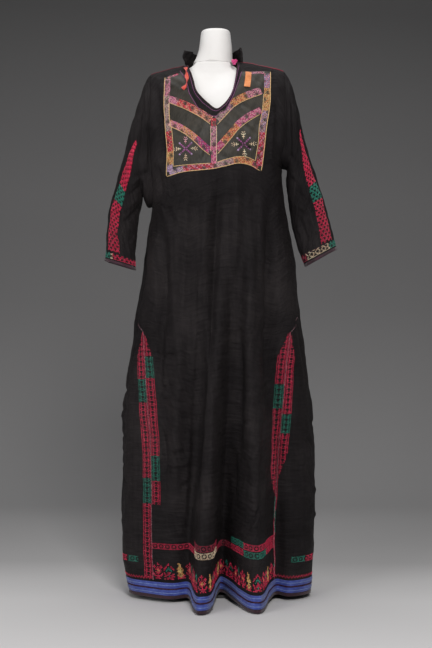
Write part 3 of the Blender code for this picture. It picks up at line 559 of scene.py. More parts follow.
# %% The black cotton
def make_cotton():
    """Plain-woven black cotton, washed thin: slubbed threads and a soft brownish bloom."""
    material, tree, shader = start_material("black_cotton", (0.010, 0.0088, 0.0092), 0.62, 0.015, 0.10)
    shader.inputs["Sheen Tint"].default_value = (0.80, 0.70, 0.68, 1.0)
    warp = noise(tree, "UV", 1.0, (900.0, 26.0, 1.0), 2.0)
    weft = noise(tree, "UV", 1.0, (22.0, 760.0, 1.0), 2.0)
    threads = combine(tree, "MULTIPLY", combine(tree, "ADD", warp, weft), 0.5)
    fade = noise(tree, "Object", 7.0, detail=5.0)
    slubs = noise(tree, "UV", 1.0, (14.0, 230.0, 1.0), 4.0)
    streaks = noise(tree, "UV", 1.0, (120.0, 5.0, 1.0), 3.0)
    crinkle = noise(tree, "UV", 1.0, (30.0, 115.0, 1.0), 5.0)
    worn = combine(tree, "MULTIPLY", combine(tree, "ADD", slubs, streaks), 0.5)
    tone = combine(tree, "ADD", combine(tree, "MULTIPLY", threads, 0.40),
                   combine(tree, "ADD", combine(tree, "MULTIPLY", fade, 0.38),
                           combine(tree, "MULTIPLY", worn, 0.22)))
    colour = ramp(tree, tone, [(0.40, (0.0050, 0.0040, 0.0045)), (0.50, (0.0120, 0.0100, 0.0107)),
                               (0.60, (0.0235, 0.0198, 0.0202))])
    tree.links.new(colour, shader.inputs["Base Color"])
    height = combine(tree, "ADD", combine(tree, "MULTIPLY", weave(tree, 0.0009, 0.0010), 0.5), threads)
    wrinkle = noise(tree, "UV", 1.0, (7.0, 40.0, 1.0), 3.0)
    height = combine(tree, "ADD", height, combine(tree, "MULTIPLY", crinkle, 7.0))
    height = combine(tree, "ADD", height, combine(tree, "MULTIPLY", wrinkle, 14.0))
    bump(tree, shader, height, 0.00055, 1.0)
    return material


# %% The chest panel's satin
def make_satin():
    """Dark olive satin: long floats that catch the light, a little crushed and worn."""
    material, tree, shader = start_material("olive_satin", (0.030, 0.027, 0.021), 0.50, 0.01, 0.20)
    floats = noise(tree, "UV", 1.0, (1300.0, 60.0, 1.0), 2.0)
    crush = noise(tree, "UV", 1.0, (420.0, 90.0, 1.0), 5.0)
    wear = noise(tree, "Object", 24.0, detail=4.0)
    tone = combine(tree, "ADD", combine(tree, "MULTIPLY", crush, 0.55),
                   combine(tree, "MULTIPLY", wear, 0.45))
    colour = ramp(tree, tone, [(0.34, (0.0150, 0.0135, 0.0110)), (0.48, (0.0270, 0.0240, 0.0190)),
                               (0.62, (0.0430, 0.0370, 0.0285)), (0.74, (0.0600, 0.0450, 0.0370))])
    tree.links.new(colour, shader.inputs["Base Color"])
    shine = combine(tree, "ADD", combine(tree, "MULTIPLY", wear, 0.35), 0.34)
    tree.links.new(shine, shader.inputs["Roughness"])
    height = combine(tree, "ADD", combine(tree, "MULTIPLY", floats, 0.25), crush)
    bump(tree, shader, height, 0.0006, 0.6)
    return material


# %% Thread, tapes and edgings
def make_floss(name, sheen=0.03):
    """Silk and cotton thread, each stitch in its own shade."""
    material, tree, shader = start_material(name, (0.4, 0.1, 0.1), 0.50, sheen, 0.3)
    dye = tree.nodes.new("ShaderNodeAttribute")
    dye.attribute_name = "thread"
    strands = noise(tree, "Object", 900.0, (1.0, 1.0, 2.4), 2.0)
    shade = tree.nodes.new("ShaderNodeMix")
    shade.data_type = "RGBA"
    shade.blend_type = "MULTIPLY"
    shade.inputs["Factor"].default_value = 1.0
    tree.links.new(dye.outputs["Color"], shade.inputs["A"])
    tree.links.new(ramp(tree, strands, [(0.3, (0.66, 0.66, 0.66)), (0.7, (1.0, 1.0, 1.0))]),
                   shade.inputs["B"])
    tree.links.new(shade.outputs["Result"], shader.inputs["Base Color"])
    bump(tree, shader, strands, 0.0003, 0.7)
    return material


def make_tape(name, stops, rib, roughness=0.5):
    """Ribbed woven tape in one dye, paler on the ribs and where it is rubbed."""
    material, tree, shader = start_material(name, stops[1][1], roughness, 0.2, 0.4)
    ribs = weave(tree, rib, rib * 1.6)
    rubbed = noise(tree, "Object", 60.0, detail=4.0)
    streak = noise(tree, "UV", 1.0, (70.0, 900.0, 1.0), 2.0)
    tone = combine(tree, "ADD", combine(tree, "MULTIPLY", rubbed, 0.5),
                   combine(tree, "MULTIPLY", streak, 0.5))
    tree.links.new(ramp(tree, tone, stops), shader.inputs["Base Color"])
    bump(tree, shader, combine(tree, "ADD", ribs, rubbed), 0.0005, 0.8)
    return material


# %% The form's paint and the stand's steel
def make_paint():
    """Matt white paint on a moulded form: almost even, with a faint orange peel."""
    material, tree, shader = start_material("white_form", (0.80, 0.785, 0.765), 0.56, 0.0, 0.4)
    age = noise(tree, "Object", 9.0, detail=4.0)
    tree.links.new(ramp(tree, age, [(0.3, (0.69, 0.670, 0.652)), (0.7, (0.77, 0.76, 0.75))]),
                   shader.inputs["Base Color"])
    bump(tree, shader, noise(tree, "Object", 420.0, detail=2.0), 0.0002, 0.5)
    return material


def make_steel():
    """Black powder coat, rubbed a little on the edges of the plate."""
    material, tree, shader = start_material("black_steel", (0.022, 0.022, 0.023), 0.46, 0.0, 0.5)
    grain = noise(tree, "Object", 700.0, detail=2.0)
    dust = noise(tree, "Object", 22.0, detail=4.0)
    tree.links.new(ramp(tree, dust, [(0.3, (0.018, 0.018, 0.019)), (0.75, (0.050, 0.048, 0.046))]),
                   shader.inputs["Base Color"])
    tree.links.new(combine(tree, "ADD", combine(tree, "MULTIPLY", dust, 0.3), 0.3),
                   shader.inputs["Roughness"])
    bump(tree, shader, grain, 0.0002, 0.6)
    return material


COTTON = make_cotton()
SATIN = make_satin()
FLOSS = make_floss("silk_thread")
BLUE = make_tape("blue_tape", [(0.30, (0.016, 0.026, 0.140)), (0.50, (0.034, 0.058, 0.300)),
                               (0.72, (0.110, 0.160, 0.500))], 0.0011)
MAROON = make_tape("maroon_edging", [(0.30, (0.010, 0.0025, 0.005)), (0.50, (0.026, 0.005, 0.012)),
                                     (0.72, (0.060, 0.011, 0.028))], 0.0012, 0.66)
ORANGE = make_tape("orange_tape", [(0.30, (0.52, 0.130, 0.034)), (0.50, (0.72, 0.240, 0.070)),
                                   (0.72, (0.86, 0.360, 0.130))], 0.0010, 0.55)
PINK = make_tape("pink_tie", [(0.30, (0.36, 0.012, 0.075)), (0.50, (0.56, 0.040, 0.190)),
                              (0.72, (0.74, 0.120, 0.330))], 0.0010, 0.55)
RED_TIE = make_tape("red_tie", [(0.30, (0.42, 0.020, 0.022)), (0.50, (0.66, 0.060, 0.040)),
                                (0.72, (0.80, 0.230, 0.130))], 0.0010, 0.55)
PAINT = make_paint()
STEEL = make_steel()
print("finishes:", len(bpy.data.materials))

# %% [markdown]
# ## Cloth as a thin wall
#
# A grid of points on the outside, the same grid a cloth's thickness further in, and a rim between
# them: that is a sheet with two faces, as cloth is.  A Solidify modifier would do the same, but it
# takes the thickness from the averaged normals of the mesh, which swell at the seams.  The grid
# also gives the UV map in metres, which the weave needs.


# %% Build a wall from a grid
def to_world(points):
    """Move points from the dress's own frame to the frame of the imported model."""
    return points + SHIFT


def run_lengths(grid, axis):
    """Distance along each row or column of a grid, from its first point."""
    steps = np.linalg.norm(np.diff(grid, axis=axis), axis=-1)
    zero = np.zeros_like(np.take(steps, [0], axis=axis))
    return np.cumsum(np.concatenate((zero, steps), axis=axis), axis=axis)


def add_mesh(name, points, faces, material, uv=None, dyes=None, rounded=True):
    """A new object at the origin from points in the dress's own frame, with UVs or thread colours."""
    mesh = bpy.data.meshes.new(name)
    mesh.from_pydata(to_world(points).tolist(), [], faces)
    if uv is not None:
        layer = mesh.uv_layers.new(name="UVMap")
        layer.data.foreach_set("uv", uv.astype(np.float32).ravel())
    if dyes is not None:
        layer = mesh.color_attributes.new("thread", "FLOAT_COLOR", "POINT")
        rgba = np.concatenate((dyes, np.ones((len(dyes), 1))), 1)
        layer.data.foreach_set("color", rgba.astype(np.float32).ravel())
    if rounded:
        mesh.shade_smooth()
    mesh.materials.append(material)
    piece = bpy.data.objects.new(name, mesh)
    bpy.context.scene.collection.objects.link(piece)
    return piece


def wall(name, outer, out, thickness, material, closed=False):
    """A sheet with an outer face, an inner face and a rim."""
    rows, count = outer.shape[:2]
    inner = outer - out * thickness
    steps = count if closed else count - 1
    i, j = np.meshgrid(np.arange(rows - 1), np.arange(steps), indexing="ij")
    k = (j + 1) % count
    quads = np.stack((i * count + j, i * count + k, (i + 1) * count + k, (i + 1) * count + j), -1)
    quads = quads.reshape(-1, 4)
    ring_again = outer if not closed else np.concatenate((outer, outer[:, :1]), axis=1)
    u, v = run_lengths(ring_again, 1), run_lengths(ring_again, 0)
    u = u - u.mean(axis=1, keepdims=True)
    corner = np.stack((u, v), -1)
    uv = np.stack((corner[i, j], corner[i, j + 1], corner[i + 1, j + 1], corner[i + 1, j]), 2)
    uv = uv.reshape(-1, 4, 2)
    across = outer[quads[:, 0] // count, quads[:, 0] % count]
    first = outer.reshape(-1, 3)[quads[:, 1]] - across
    second = outer.reshape(-1, 3)[quads[:, 3]] - across
    if (np.cross(first, second) * out.reshape(-1, 3)[quads[:, 0]]).sum() < 0:
        quads, uv = quads[:, ::-1], uv[:, ::-1]
    total = rows * count
    back = quads[:, ::-1] + total
    faces, coordinates = [quads, back], [uv, uv[:, ::-1]]
    edges = np.stack((quads, np.roll(quads, -1, axis=1)), -1).reshape(-1, 2)
    edge_uv = np.stack((uv, np.roll(uv, -1, axis=1)), 2).reshape(-1, 2, 2)
    key = edges[:, 0] * total + edges[:, 1]
    twin = edges[:, 1] * total + edges[:, 0]
    rim = ~np.isin(key, twin)
    a, b = edges[rim, 0], edges[rim, 1]
    faces.append(np.stack((b, a, a + total, b + total), -1))
    rim_uv = edge_uv[rim]
    coordinates.append(np.stack((rim_uv[:, 1], rim_uv[:, 0], rim_uv[:, 0], rim_uv[:, 1]), 1))
    points = np.concatenate((outer.reshape(-1, 3), inner.reshape(-1, 3)))
    piece = add_mesh(name, points, np.concatenate(faces).tolist(), material,
                     np.concatenate(coordinates))
    piece.data.set_sharp_from_angle(angle=math.radians(60))
    return piece


def cut_size(grid, closed=False):
    """A sheet's flat width, length and area, measured along its threads."""
    rows = np.concatenate((grid, grid[:, :1]), axis=1) if closed else grid
    width, length = run_lengths(rows, 1)[:, -1].max(), run_lengths(rows, 0)[-1].max()
    first, second = rows[:-1, 1:] - rows[:-1, :-1], rows[1:, :-1] - rows[:-1, :-1]
    area = np.linalg.norm(np.cross(first, second), axis=-1).sum()
    return float(width), float(length), float(min(area, width * length))


def register(piece, nodes=(), grid=None, closed=False,
             broad=None):
    """Attach a piece to the root, hide the imported parts that it takes the place of, and print its cut
    size; broad is a slanting strip's width.
    """
    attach(piece, "root")
    if nodes:
        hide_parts(*nodes)
    if grid is not None:
        width, length, area = cut_size(grid, closed)
        if broad:
            length, area = broad, min(area, width * broad)
        print(f"{piece.name}: cut {width * 1000:.0f} x {length * 1000:.0f} mm, {area:.4f} m2")
    return piece


# %% [markdown]
# ## The front, the back and the gores
#
# Rows run along the weft at the same heights on all four pieces, so their seams meet point for
# point.  In each row the points are spread along the cloth's own length, closer on the crests of
# the folds, where the curve is tightest.

# %% Grids of the body
SEAM_ROWS = np.linspace(HEM, GORE_TIP, 128)
BODY_ROWS = np.concatenate((SEAM_ROWS, np.linspace(GORE_TIP, BUST, 46)[1:]))
YOKE_ROWS = 42
FRONT_COLUMNS, BACK_COLUMNS, GORE_COLUMNS = 161, 121, 49
ACROSS_WEIGHT = 2.0


def even_turns(side, start, end, level, count):
    """Turns that divide one ring into even steps, closer across a fold's crest than its sides."""
    fine = np.linspace(start, end, 260)
    points = surface(side, fine, level) * (ACROSS_WEIGHT, 1.0, 1.0)
    run = run_lengths(points[None], 1)[0]
    return np.interp(np.linspace(0.0, run[-1], count), run, fine)


def neck_height(side, across):
    """Height of the neck edge, or of the shoulder beyond it."""
    table = FINE_NECK if side < 0 else NECK_BACK
    inside = (across > table["across"][0]) & (across < table["across"][-1])
    height = np.interp(across, table["across"], table["height"])
    return np.where(inside, np.minimum(height, shoulder(across)), shoulder(across))


def pull_in(grid, amount, sides):
    """Move the edges of a grid into it, which leaves the gap of a seam."""
    moved = grid.copy()
    for name, edge, beside in (("left", 0, 1), ("right", -1, -2)):
        if name in sides:
            moved[:, edge] += amount * unit(grid[:, beside] - grid[:, edge])
    if "top" in sides:
        moved[-1] += amount * unit(grid[-2] - grid[-1])
    return moved


def body_grid(side, count):
    """Points and directions of the front or the back, hem first."""
    turns = [even_turns(side, edge_turn(-1, level), edge_turn(1, level), level, count)
             for level in BODY_ROWS]
    levels = [np.full(count, level) for level in BODY_ROWS]
    top = turns[-1]
    across = surface(side, top, BUST)[:, 0]
    reach = dome_share(side, across, neck_height(side, across))
    for share in np.linspace(0.0, 1.0, YOKE_ROWS + 1)[1:]:
        turns.append(top)
        levels.append(BUST + reach * share)
    grid, out = dress(side, np.array(turns), np.array(levels))
    return pull_in(grid, SEAM / 2, "top left right"), out


def gore_grid(hand):
    """Points and directions of a side gore, from the hem to its point."""
    sides, turns, levels = [], [], []
    half = GORE_COLUMNS // 2 + 1
    for level in SEAM_ROWS:
        edge = edge_turn(hand, level)
        front = even_turns(-1, edge, hand, level, half)
        back = even_turns(1, hand, edge, level, half)[1:]
        sides.append([-1.0] * half + [1.0] * (half - 1))
        turns.append(np.concatenate((front, back)))
        levels.append(np.full(GORE_COLUMNS, level))
    grid, out = dress(np.array(sides), np.array(turns), np.array(levels))
    return pull_in(grid, SEAM / 2, "top left right"), out


FRONT, FRONT_OUT = body_grid(-1, FRONT_COLUMNS)
BACK, BACK_OUT = body_grid(1, BACK_COLUMNS)
GORES = {-1: gore_grid(-1), 1: gore_grid(1)}

# %% Front, back and gores
front = wall("front", FRONT, FRONT_OUT, CLOTH, COTTON)
register(front, ["front_panel"], FRONT)
back = wall("back", BACK, BACK_OUT, CLOTH, COTTON)
register(back, ["back_panel"], BACK)
for hand, name in ((-1, "left"), (1, "right")):
    gore = wall("gore_" + name, GORES[hand][0], GORES[hand][1], CLOTH, COTTON)
    register(gore, ["side_gore_" + name], GORES[hand][0])

# %% [markdown]
# ## The sleeves
#
# A thobe's sleeve is a straight tube set into the armhole.  Here it hangs with no arm in it, so it
# falls flat and bunches at the elbow.  Its first ring is the armhole itself; the others are rounded
# rings from a table, joined by a smooth curve along each thread.

# %% Sleeve tables
SLEEVE_NAMES = ("outer_x", "outer_z", "inner_x", "inner_z", "half_depth", "forward")
SLEEVE_LEFT = columns(SLEEVE_NAMES, [
    (-0.190, 1.365, -0.181, 1.054, 0.086, 0.000),
    (-0.202, 1.330, -0.190, 1.068, 0.084, 0.001),
    (-0.219, 1.277, -0.196, 1.074, 0.078, 0.003),
    (-0.237, 1.212, -0.199, 1.058, 0.071, 0.006),
    (-0.255, 1.145, -0.203, 1.030, 0.065, 0.010),
    (-0.272, 1.080, -0.207, 1.002, 0.060, 0.014),
    (-0.286, 1.020, -0.211, 0.970, 0.056, 0.018),
    (-0.292, 0.955, -0.2135, 0.925, 0.053, 0.022),
    (-0.294, 0.9025, -0.2145, 0.8785, 0.052, 0.026),
])
SLEEVE_RIGHT = columns(SLEEVE_NAMES, [
    (0.200, 1.372, 0.187, 1.151, 0.082, 0.000),
    (0.211, 1.335, 0.189, 1.143, 0.078, 0.001),
    (0.222, 1.292, 0.189, 1.124, 0.072, 0.003),
    (0.233, 1.235, 0.189, 1.102, 0.066, 0.006),
    (0.250, 1.172, 0.191, 1.076, 0.060, 0.010),
    (0.271, 1.110, 0.195, 1.044, 0.056, 0.014),
    (0.290, 1.050, 0.203, 1.000, 0.053, 0.018),
    (0.306, 0.988, 0.211, 0.950, 0.052, 0.022),
    (0.3200, 0.934, 0.2345, 0.887, 0.052, 0.026),
])
SLEEVE_EASE = (0.42, 0.75, 0.95)
SLEEVE_ROUND = 2.3
CUFF_DROP = 0.0075
SLEEVE_ROWS, SLEEVE_HALF = 112, 50

# Creases of the sleeves, seen from the front; the same, a little moved, lie behind.
SLEEVE_CREASES = {
    -1: columns(CREASE_NAMES, [
        (-0.196, 1.350, -0.200, 1.130, 0.0090, -0.0060, 0.006),
        (-0.180, 1.290, -0.190, 1.100, 0.0070, 0.0040, 0.003),
        (-0.222, 1.300, -0.232, 1.120, 0.0100, 0.0034, 0.005),
        (-0.160, 1.140, -0.220, 1.118, 0.0052, -0.0050, 0.008),
        (-0.196, 1.128, -0.236, 1.086, 0.0052, 0.0040, 0.006),
        (-0.190, 1.104, -0.238, 1.062, 0.0050, -0.0046, 0.005),
        (-0.204, 1.066, -0.256, 1.020, 0.0050, 0.0036, 0.006),
        (-0.200, 1.046, -0.250, 0.990, 0.0052, -0.0046, 0.006),
        (-0.252, 1.034, -0.222, 0.962, 0.0046, 0.0032, 0.004),
        (-0.244, 1.010, -0.216, 0.940, 0.0044, -0.0036, 0.004),
        (-0.262, 0.992, -0.240, 0.932, 0.0044, 0.0026, -0.003),
        (-0.210, 1.000, -0.224, 0.930, 0.0044, 0.0026, 0.003),
    ]),
    1: columns(CREASE_NAMES, [
        (0.190, 1.345, 0.190, 1.135, 0.0090, -0.0070, 0.003),
        (0.206, 1.330, 0.214, 1.120, 0.0100, 0.0040, -0.005),
        (0.186, 1.180, 0.226, 1.120, 0.0052, -0.0036, 0.005),
        (0.196, 1.130, 0.232, 1.070, 0.0054, 0.0032, 0.004),
        (0.206, 1.080, 0.250, 1.030, 0.0050, -0.0034, 0.005),
        (0.212, 1.040, 0.262, 1.000, 0.0048, 0.0030, 0.004),
        (0.222, 1.010, 0.250, 0.930, 0.0050, -0.0044, -0.004),
        (0.240, 1.016, 0.270, 0.944, 0.0048, 0.0034, 0.004),
        (0.258, 0.992, 0.246, 0.926, 0.0042, -0.0034, 0.003),
        (0.214, 0.986, 0.232, 0.924, 0.0044, 0.0030, 0.003),
    ]),
}
MIRROR_SHIFT = np.array((0.006, -0.012))


def armhole(hand):
    """The ring at the armhole: from the armpit up the front, and down the back."""
    armpit = ARMPIT_LEFT if hand < 0 else ARMPIT_RIGHT
    fine = np.concatenate((np.linspace(armpit, BUST, 60), BUST + np.linspace(0.0, 1.0, 90)[1:]))
    points, out = [], []
    for side in (-1, 1):
        turns = np.array([edge_turn(hand, level) for level in fine])
        place, way = dress(side, turns, fine)
        beside = surface(side, turns - hand * 0.01, fine)
        away = unit(surface(side, turns, fine) - beside)
        away[0] = (0.0, 0.0, 1.0)
        run = run_lengths(place[None], 1)[0]
        even = np.linspace(0.0, run[-1], SLEEVE_HALF + 1)
        pick = [np.stack([np.interp(even, run, part[:, k]) for k in range(3)], -1)
                for part in (place + away * ARMHOLE_SEAM, way)]
        order = slice(0, -1) if side < 0 else slice(None, 0, -1)
        points.append(pick[0][order])
        out.append(pick[1][order])
    return np.concatenate(points), unit(np.concatenate(out))


def sleeve_grid(hand, table):
    """A fine grid from the armhole to the cuff."""
    start, first = armhole(hand)
    count = len(start)
    angle = np.linspace(0.0, 2 * np.pi, count, endpoint=False)
    middle = (start[0] + start[count // 2]) / 2
    rings, power = [start], 2.0 / SLEEVE_ROUND
    for k in range(len(table["outer_x"])):
        row = {name: column[k] for name, column in table.items()}
        outer = np.array((row["outer_x"], -row["forward"], row["outer_z"]))
        inner = np.array((row["inner_x"], -row["forward"], row["inner_z"]))
        reach = np.sign(-np.cos(angle)) * np.abs(np.cos(angle)) ** power
        side = -np.sign(np.sin(angle)) * np.abs(np.sin(angle)) ** power * row["half_depth"]
        ringed = (outer + inner) / 2 + np.outer(reach, (outer - inner) / 2)
        ringed[:, 1] += side
        ease = SLEEVE_EASE[k] if k < len(SLEEVE_EASE) else 1.0
        rings.append(ringed * ease + (start + (outer + inner) / 2 - middle) * (1.0 - ease))
    rings = np.array(rings)
    rows = np.arange(len(rings), dtype=float)
    at = np.linspace(0.0, rows[-1], SLEEVE_ROWS)
    grid = np.stack([np.stack([curve(rows, rings[:, j, axis], at) for axis in range(3)], -1)
                     for j in range(count)], 1)
    around = np.roll(grid, -1, axis=1) - np.roll(grid, 1, axis=1)
    out = unit(np.cross(around, np.gradient(grid, axis=0)))
    centre = grid.mean(axis=1, keepdims=True)
    out = out * np.sign((out * (grid - centre)).sum())
    share = smooth(0.0, 1.0, at)[:, None, None]
    out = unit(out * share + first[None] * (1.0 - share))
    x, z = grid[..., 0], grid[..., 2]
    behind = (angle > np.pi)[None, :]
    facing = np.abs(np.sin(angle))[None, :] ** 0.5
    moved = MIRROR_SHIFT * (hand, 1.0)
    lift = np.where(behind, crease_lift(SLEEVE_CREASES[hand], x - moved[0], z - moved[1]),
                    crease_lift(SLEEVE_CREASES[hand], x, z)) * facing
    lift = lift * 1.5 + rumple(grid, 0.06, 0.0012) + rumple(grid, 0.022, 0.0004)
    return grid + out * (lift * smooth(0.0, 0.5, at)[:, None])[..., None], out


SLEEVES = {}
for hand, name, table in ((-1, "left", SLEEVE_LEFT), (1, "right", SLEEVE_RIGHT)):
    SLEEVES[hand] = sleeve_grid(hand, table)
    sleeve = wall("sleeve_" + name + "_cloth", *SLEEVES[hand], CLOTH, COTTON, closed=True)
    register(sleeve, ["sleeve_" + name], SLEEVES[hand][0],
             closed=True)

# %% [markdown]
# ## The collar and the neck binding
#
# The collar is a short standing strip.  It has gone soft: it leans on the neck behind, and its left
# end has flopped open.  The binding is a strip of the same cotton round the V of the neck, held by
# a thin purple cord on both edges.

# %% Collar
COLLAR = columns(("foot_x", "foot_y", "foot_z", "height", "lean_x", "lean_y"), [
    (-0.0800, -0.034, 1.4235, 0.023, -0.008, -0.012),
    (-0.0835, -0.012, 1.4265, 0.031, -0.003, -0.008),
    (-0.0820, 0.014, 1.4265, 0.037, 0.010, 0.000),
    (-0.0650, 0.052, 1.4230, 0.038, 0.008, -0.008),
    (-0.0050, 0.086, 1.4090, 0.046, 0.000, -0.012),
    (0.0520, 0.052, 1.4230, 0.042, -0.006, -0.008),
    (0.0680, 0.014, 1.4290, 0.040, -0.004, 0.000),
    (0.0720, -0.010, 1.4300, 0.036, -0.002, -0.004),
    (0.0670, -0.030, 1.4270, 0.026, 0.002, -0.008),
])
COLLAR_COLUMNS, COLLAR_ROWS = 150, 22
COLLAR_MIDDLE = np.array((-0.005, 0.01, 1.44))


def collar_grid():
    """The collar's points and directions, foot first."""
    rows = np.arange(len(COLLAR["foot_x"]), dtype=float)
    at = np.linspace(0, rows[-1], COLLAR_COLUMNS)
    x, y, z, height, lean_x, lean_y = [curve(rows, column, at) for column in COLLAR.values()]
    up = np.linspace(0.0, 1.0, COLLAR_ROWS)[:, None]
    ripple = 1.0 + 0.03 * np.sin(at * 3.1)
    grid = np.stack((x + lean_x * up, y + lean_y * up, z + height * ripple * up), -1)
    out = unit(np.cross(np.gradient(grid, axis=1), np.gradient(grid, axis=0)))
    out = out * np.sign((out * (grid - COLLAR_MIDDLE)).sum())
    wave = 0.0020 * np.sin(at * 3.9 + 2.6 * up) + 0.0009 * np.sin(at * 8.1 - 3.0 * up + 1.7)
    flop = 0.0060 * np.exp(-((at - 1.1) / 0.7) ** 2) * np.sin(np.pi * up) ** 2
    roll = -0.0030 * up ** 3 * (1.0 + 0.5 * np.sin(at * 3.7))
    lift = (wave * smooth(0.0, 0.6, up) + flop + roll)[..., None]
    return grid + out * lift, out


COLLAR_GRID, COLLAR_OUT = collar_grid()
collar = wall("collar_cloth", COLLAR_GRID, COLLAR_OUT, CLOTH, COTTON)
register(collar, ["collar"], COLLAR_GRID)


# %% Neck binding
def place_on_front(x, z, lift=0.0):
    """Points of the creased front and the directions out of it, from places seen head-on."""
    x, z = np.broadcast_arrays(np.asarray(x, float), np.asarray(z, float))
    share = dome_share(-1, x, np.maximum(z, BUST))
    level = np.where(z > BUST, BUST + share, z)
    return dress(-1, turn_at(x, np.minimum(z, BUST)), level, lift)


def even_line(table, count):
    """Even points along a table's line, rounded a little at its corners."""
    line = np.stack(list(table.values()), -1)
    run = run_lengths(line[None], 1)[0]
    even = np.linspace(0.0, run[-1], count)
    places = np.stack([np.interp(even, run, line[:, k]) for k in (0, 1)], -1)
    for _ in range(14):
        places[1:-1] = (places[:-2] + 2 * places[1:-1] + places[2:]) / 4
    return places


def binding_grid():
    """The strip round the neck, thickest along its middle."""
    count = 181
    inner, outer = even_line(FINE_NECK, count), even_line(BINDING_EDGE, count)
    up = np.linspace(0.0, 1.0, 13)[:, None]
    place = outer + (inner - outer) * up[..., None]
    run = np.linspace(0.0, 1.0, count)
    lift = SEAM + APPLIED + 0.0010 * np.sin(np.pi * up) ** 0.8
    lift = lift + 0.0004 * np.sin(run * 61 + up * 5) * np.sin(run * 23 + 1.0)
    return place_on_front(place[..., 0], place[..., 1], lift)


BINDING_GRID, BINDING_OUT = binding_grid()
binding = wall("neck_binding_strip", BINDING_GRID, BINDING_OUT, APPLIED, COTTON)
register(binding, ["neck_binding"], BINDING_GRID, broad=0.030)

# %% [markdown]
# ## The chest panel
#
# A square of dark olive satin, sewn on over the front.  Its lower edge waves a little, as the satin
# has shrunk less than the cotton under it.  The piece is made from the front's own points, moved
# out, so it takes every fold of the cloth below.

# %% Satin
PANEL_SIDES = columns(("height", "left", "right"), [
    (1.10, -0.128, 0.114), (1.17, -0.127, 0.121), (1.24, -0.132, 0.133), (1.32, -0.1345, 0.141),
    (1.40, -0.1340, 0.143),
])
PANEL_FOOT = columns(("across", "height"), [
    (-0.140, 1.1080), (-0.128, 1.1100), (-0.086, 1.1205), (-0.044, 1.1245), (-0.005, 1.1280),
    (0.028, 1.1360), (0.059, 1.1430), (0.086, 1.1390), (0.112, 1.1250), (0.145, 1.1230),
])
PANEL_HEAD = columns(("across", "height"), [
    (-0.140, 1.3790), (-0.120, 1.3860), (-0.096, 1.3930), (0.068, 1.3960), (0.100, 1.3960),
    (0.145, 1.3950),
])
PANEL_LIFT = SEAM + APPLIED


def panel_grid():
    """The satin's points: from its waving foot to its head, or to the binding that covers it."""
    count = 111
    share = np.linspace(0.0, 1.0, count)
    up = np.linspace(0.0, 1.0, count)[:, None]
    rough = 1.115 + up * 0.27
    left, right = (curve(PANEL_SIDES["height"], PANEL_SIDES[name], rough) for name in ("left", "right"))
    x = left + (right - left) * share
    foot = curve(PANEL_FOOT["across"], PANEL_FOOT["height"], x)
    head = curve(PANEL_HEAD["across"], PANEL_HEAD["height"], x)
    inner, outer = even_line(FINE_NECK, 181), even_line(BINDING_EDGE, 181)
    seam = outer * 0.75 + inner * 0.25
    edge = np.interp(x, seam[:, 0], seam[:, 1])
    inside = (x > seam[0, 0]) & (x < seam[-1, 0])
    head = np.where(inside, np.minimum(head, edge), head)
    z = foot + (head - foot) * up
    puckers = 0.0007 * np.sin(x * 210 + z * 60) * np.sin(z * 170 - x * 40)
    return place_on_front(x, z, PANEL_LIFT + puckers)


PANEL_GRID, PANEL_OUT = panel_grid()
panel = wall("chest_satin", PANEL_GRID, PANEL_OUT, APPLIED - 0.0002, SATIN)
register(panel, ["chest_panel"], PANEL_GRID)

# %% [markdown]
# ## Thread
#
# A cross-stitch is two short straight stitches over each other, and each stitch is a little ridge
# of thread.  Modelled once as a low five-cornered roof, it is copied to every square of a chart as
# one joined mesh.  The charts are drawn: a letter is a stitch, a dot is bare cloth.  A
# texture would be lighter, but real stitches stand up at the edges of a fold.

# %% Dyes
THREADS = {
    "red": (0.700, 0.018, 0.080), "dark red": (0.340, 0.010, 0.042), "green": (0.012, 0.230, 0.160),
    "cream": (0.930, 0.680, 0.470), "orange": (0.950, 0.380, 0.130), "yellow": (0.930, 0.580, 0.200),
    "pink": (0.930, 0.280, 0.450), "magenta": (0.680, 0.060, 0.250), "lilac": (0.600, 0.400, 0.680),
    "mauve": (0.540, 0.270, 0.330), "tan": (0.540, 0.410, 0.360), "salmon": (0.950, 0.340, 0.270),
    "gold": (0.780, 0.520, 0.250), "purple": (0.400, 0.110, 0.330), "maroon": (0.100, 0.008, 0.030),
    "pale blue": (0.290, 0.400, 0.750), "pale pink": (0.880, 0.430, 0.500),
    "bright red": (0.900, 0.040, 0.080), "rust": (0.760, 0.180, 0.090),
}
ROOF = np.array([(1, 0, 4), (2, 1, 4), (3, 2, 4), (0, 3, 4)])
SINK = 0.00015


def dye(names):
    """Colours for a list of thread names, each stitch a shade of its own, and about one in seven
    lightened as a painted highlight.
    """
    base = np.array([THREADS[name] for name in names])
    shade = RANDOM.normal(1.0, 0.22, (len(base), 1)).clip(0.45, 1.5)
    # Painted highlight: about one stitch in seven is mixed towards a paler colour, as though it caught
    # the light.
    painted_glint = (RANDOM.random((len(base), 1)) < 0.14) * 0.22
    return (base * shade * (1 - painted_glint) + painted_glint * (base + 0.45) * 0.8).clip(0.0, 0.95)


def stitches(name, middle, along, out, length, width, height, colours):
    """Straight stitches as one mesh: a low roof of thread over each middle."""
    along = unit(along - out * (along * out).sum(-1, keepdims=True))
    across = np.cross(out, along)
    base = middle - out * SINK
    length = np.broadcast_to(length, len(middle))[:, None]
    corners = np.stack((base - along * length / 2, base + across * width / 2,
                        base + along * length / 2, base - across * width / 2,
                        middle + out * height), 1)
    start = np.arange(len(middle))[:, None] * 5
    roofs = (start[:, None] + ROOF[None]).reshape(-1, 3)
    floor = start + np.array((0, 1, 2, 3))
    faces = [list(face) for face in roofs.tolist()] + floor.tolist()
    piece = add_mesh(name, corners.reshape(-1, 3), faces, FLOSS, dyes=colours.repeat(5, axis=0),
                     rounded=False)
    register(piece)
    print(f"{name}: {len(middle)} stitches")
    return piece


